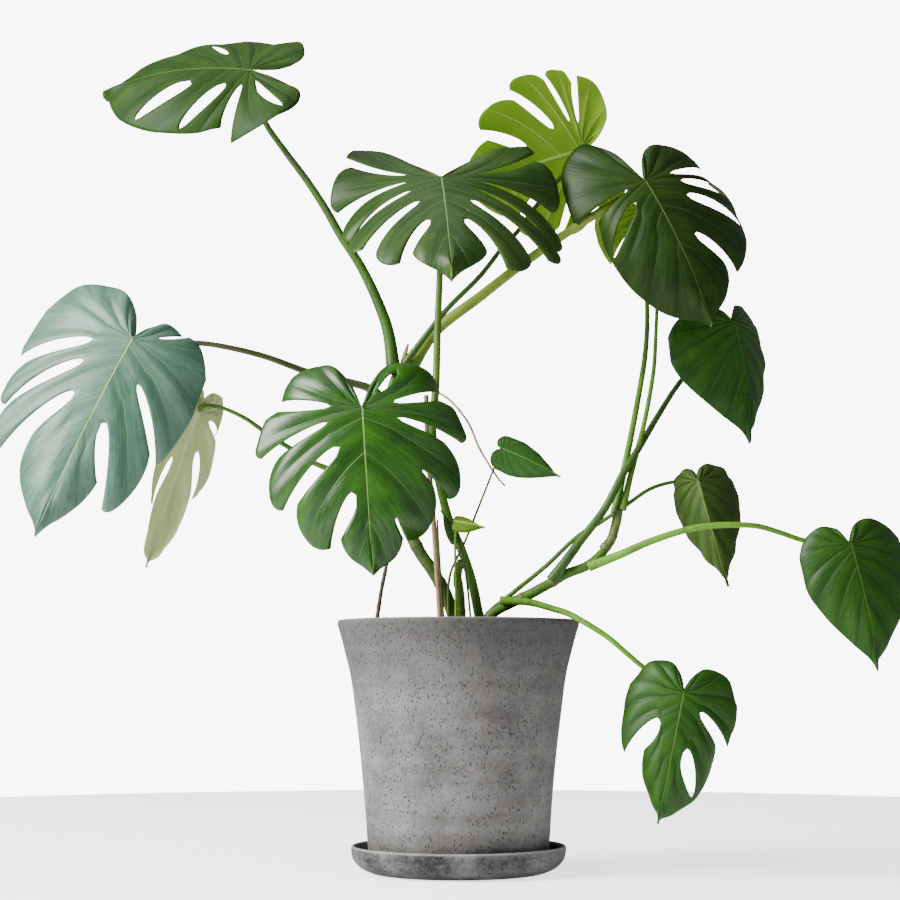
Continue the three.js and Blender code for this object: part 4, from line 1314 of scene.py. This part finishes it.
grow_leaf(
    "front", "green_leaf", mid_green, green_stalk, (-113, -90, 542), 0, 8, (4, 3),
    [(-85, 36, 519), (-88, 15, 535), (-94, -20, 546), (-102, -55, 548)],
    spin=4, length=192, left=128, right=126, back=62, arch=20, left_droop=(3, 20),
    right_droop=(3, 25), pleat=4.8, seed=5.1, left_reach=[1, 1.05, 1.02, 1, 0.95],
    right_reach=[0.9, 1, 1, 1, 0.95],
    cuts=[
        slit(LEFT, 8, 0.3, 0.025), slit(LEFT, 11), slit(LEFT, 14, 0.25), slit(LEFT, 17, 0.25),
        hole(RIGHT, 5, 0.35, 0.8, 0.02), slit(RIGHT, 8), slit(RIGHT, 11),
        slit(RIGHT, 14, 0.6, 0.008), slit(RIGHT, 17, 0.6, 0.008),
    ],
)

# The hidden leaves: a yellow-green one and a small green one that hang behind the dark
# upper right leaf and show only through its slits and past its edge.

grow_leaf(
    "hidden_upper", "young_leaf", yellow_green_painted_backlight, green_stalk, (238, 128, 830), 10, 15, (4, 2.5),
    [(186, -38, 424), (197, -30, 470), (206, -20, 508), (218, 0, 561), (233, 48, 628),
     (245, 136, 707), (244, 158, 779)],
    spin=15, length=125, left=68, right=70, back=35, arch=20, droop=(5, 20), seed=5.9,
    cuts=[slit(LEFT, 13, 0.4), slit(RIGHT, 13, 0.4)],
)
grow_leaf(
    "hidden_small", "green_leaf", mid_green, green_stalk, (250, 54, 752), 10, 12, (3.4, 2),
    [(196, -46, 432), (203, -42, 460), (213, -32, 495), (224, -20, 533), (238, 2, 598),
     (246, 44, 651), (251, 70, 707)],
    spin=0, length=62, left=27, right=27, back=14, arch=20, droop=(15, 20), small=True, seed=6.3,
)

# The right heart leaf: whole and heart shaped, folded like a book along its midrib, on
# a thick dark stalk from the side stem.

grow_leaf(
    "right_heart", "green_leaf", deep_green, dark_stalk, (349, 78, 674), 30, 12, (5, 2.8),
    [(113, -57, 347), (126, -57, 364), (142, -54, 386), (172, -52, 425), (194, -48, 466),
     (216, -32, 501), (246, 34, 548), (280, 100, 598), (322, 124, 650)],
    spin=9, length=151, left=91, right=91, back=30, arch=25, droop=(22, 15), pleat=2.2, seed=7.0,
)

# The folded hanging leaf: a narrow olive heart under the right heart leaf, folded more
# on its right, with dark streaks between its veins.

grow_leaf(
    "folded_hanging", "green_leaf", olive_green, green_stalk, (283, -52, 461), -19, 8, (3.2, 2.2),
    rooted([(36, -14, 304), (53, -18, 319), (68, -22, 331), (104, -26, 360), (143, -30, 396),
            (168, -32, 411), (198, -30, 431), (230, -17, 453), (255, -3, 462), (274, -10, 464),
            (285, -34, 463)], 22, -10),
    spin=15, length=128, left=52, right=58, back=22, arch=20, left_droop=(30, 15),
    right_droop=(42, 15), seed=7.7,
)

# The far right leaf: a dark heart at the end of a long bright stalk that leaves the side
# stem nearly level.

grow_leaf(
    "far_right", "green_leaf", deep_green, bright_stalk, (451, -105, 381), 8, 12, (4.5, 2.6),
    [(160, -58, 360), (189, -68, 371), (224, -79, 386), (266, -88, 399), (293, -92, 403),
     (320, -92, 404), (347, -86, 403), (375, -78, 396), (400, -74, 388), (425, -78, 384)],
    spin=12, length=145, left=64, right=84, back=30, arch=25, droop=(10, 25), pleat=2.2, seed=8.3,
)

# The bottom right leaf: the lowest one, hanging beside the pot with one long slit and a
# narrow end lobe.

grow_leaf(
    "bottom_right", "green_leaf", deep_green, bright_stalk, (255, -116, 212), -5, 8, (4, 2.6),
    [(56, -48, 318), (83, -54, 316), (111, -62, 308), (126, -68, 303), (149, -78, 290),
     (173, -84, 274), (194, -84, 256), (212, -82, 241), (234, -88, 226)],
    spin=-12, length=150, left=70, right=72, back=34, arch=20, droop=(8, 25), seed=9.1,
    left_reach=[1, 0.85], right_reach=[1, 0.98, 0.98],
    cuts=[slit(LEFT, 14, 0.3, 0.045), slit(RIGHT, 12, 0.3, 0.03), hole(RIGHT, 16, 0.3, RIM, 0.03)],
)

# The small leaves at the centre: new shoots straight from the soil with narrow blades,
# and one bare stalk that has lost its leaf.

grow_leaf(
    "small_centre", "green_leaf", young_green, green_stalk, (53, -34, 500), 5, 15, (1.8, 1.3),
    rooted([(-12, -37, 301), (-10, -37, 348), (8, -36, 389), (25, -33, 432),
            (47, -30, 487)], -12, -37),
    spin=66, length=76, left=27, right=25, back=10, arch=15, droop=(8, 15), small=True, seed=9.8,
    pleat=0.6, ripple=0.4,
)
grow_leaf(
    "tiny_bright", "young_leaf", yellow_green_painted_backlight, bright_stalk, (-3, -60, 411), 0, 25, (2, 1.4),
    rooted([(-3, -50, 300), (-3, -52, 342), (-4, -54, 383)], -4, -48),
    spin=80, length=34, left=12, right=12, back=4, arch=10, droop=(10, 10), small=True, pleat=0.3,
    ripple=0.2,
)
grow_leaf(
    "tiny_dark", "green_leaf", deep_green, dark_stalk, (-2, -46, 391), 10, 20, (1.6, 1.2),
    rooted([(14, -38, 301), (10, -40, 340), (4, -42, 375)], 16, -40),
    spin=-159, length=42, left=10, right=10, back=4, arch=10, droop=(20, 10), small=True, pleat=0.3,
    ripple=0.2,
)
add_stem(
    "bare_stem", brown_stalk, "bare_stalk",
    rooted([(-18, -30, 301), (-24, -30, 392), (-25, -30, 415)], -16, -32),
    tapered(1.8, 1.3), 12, 2.0,
)
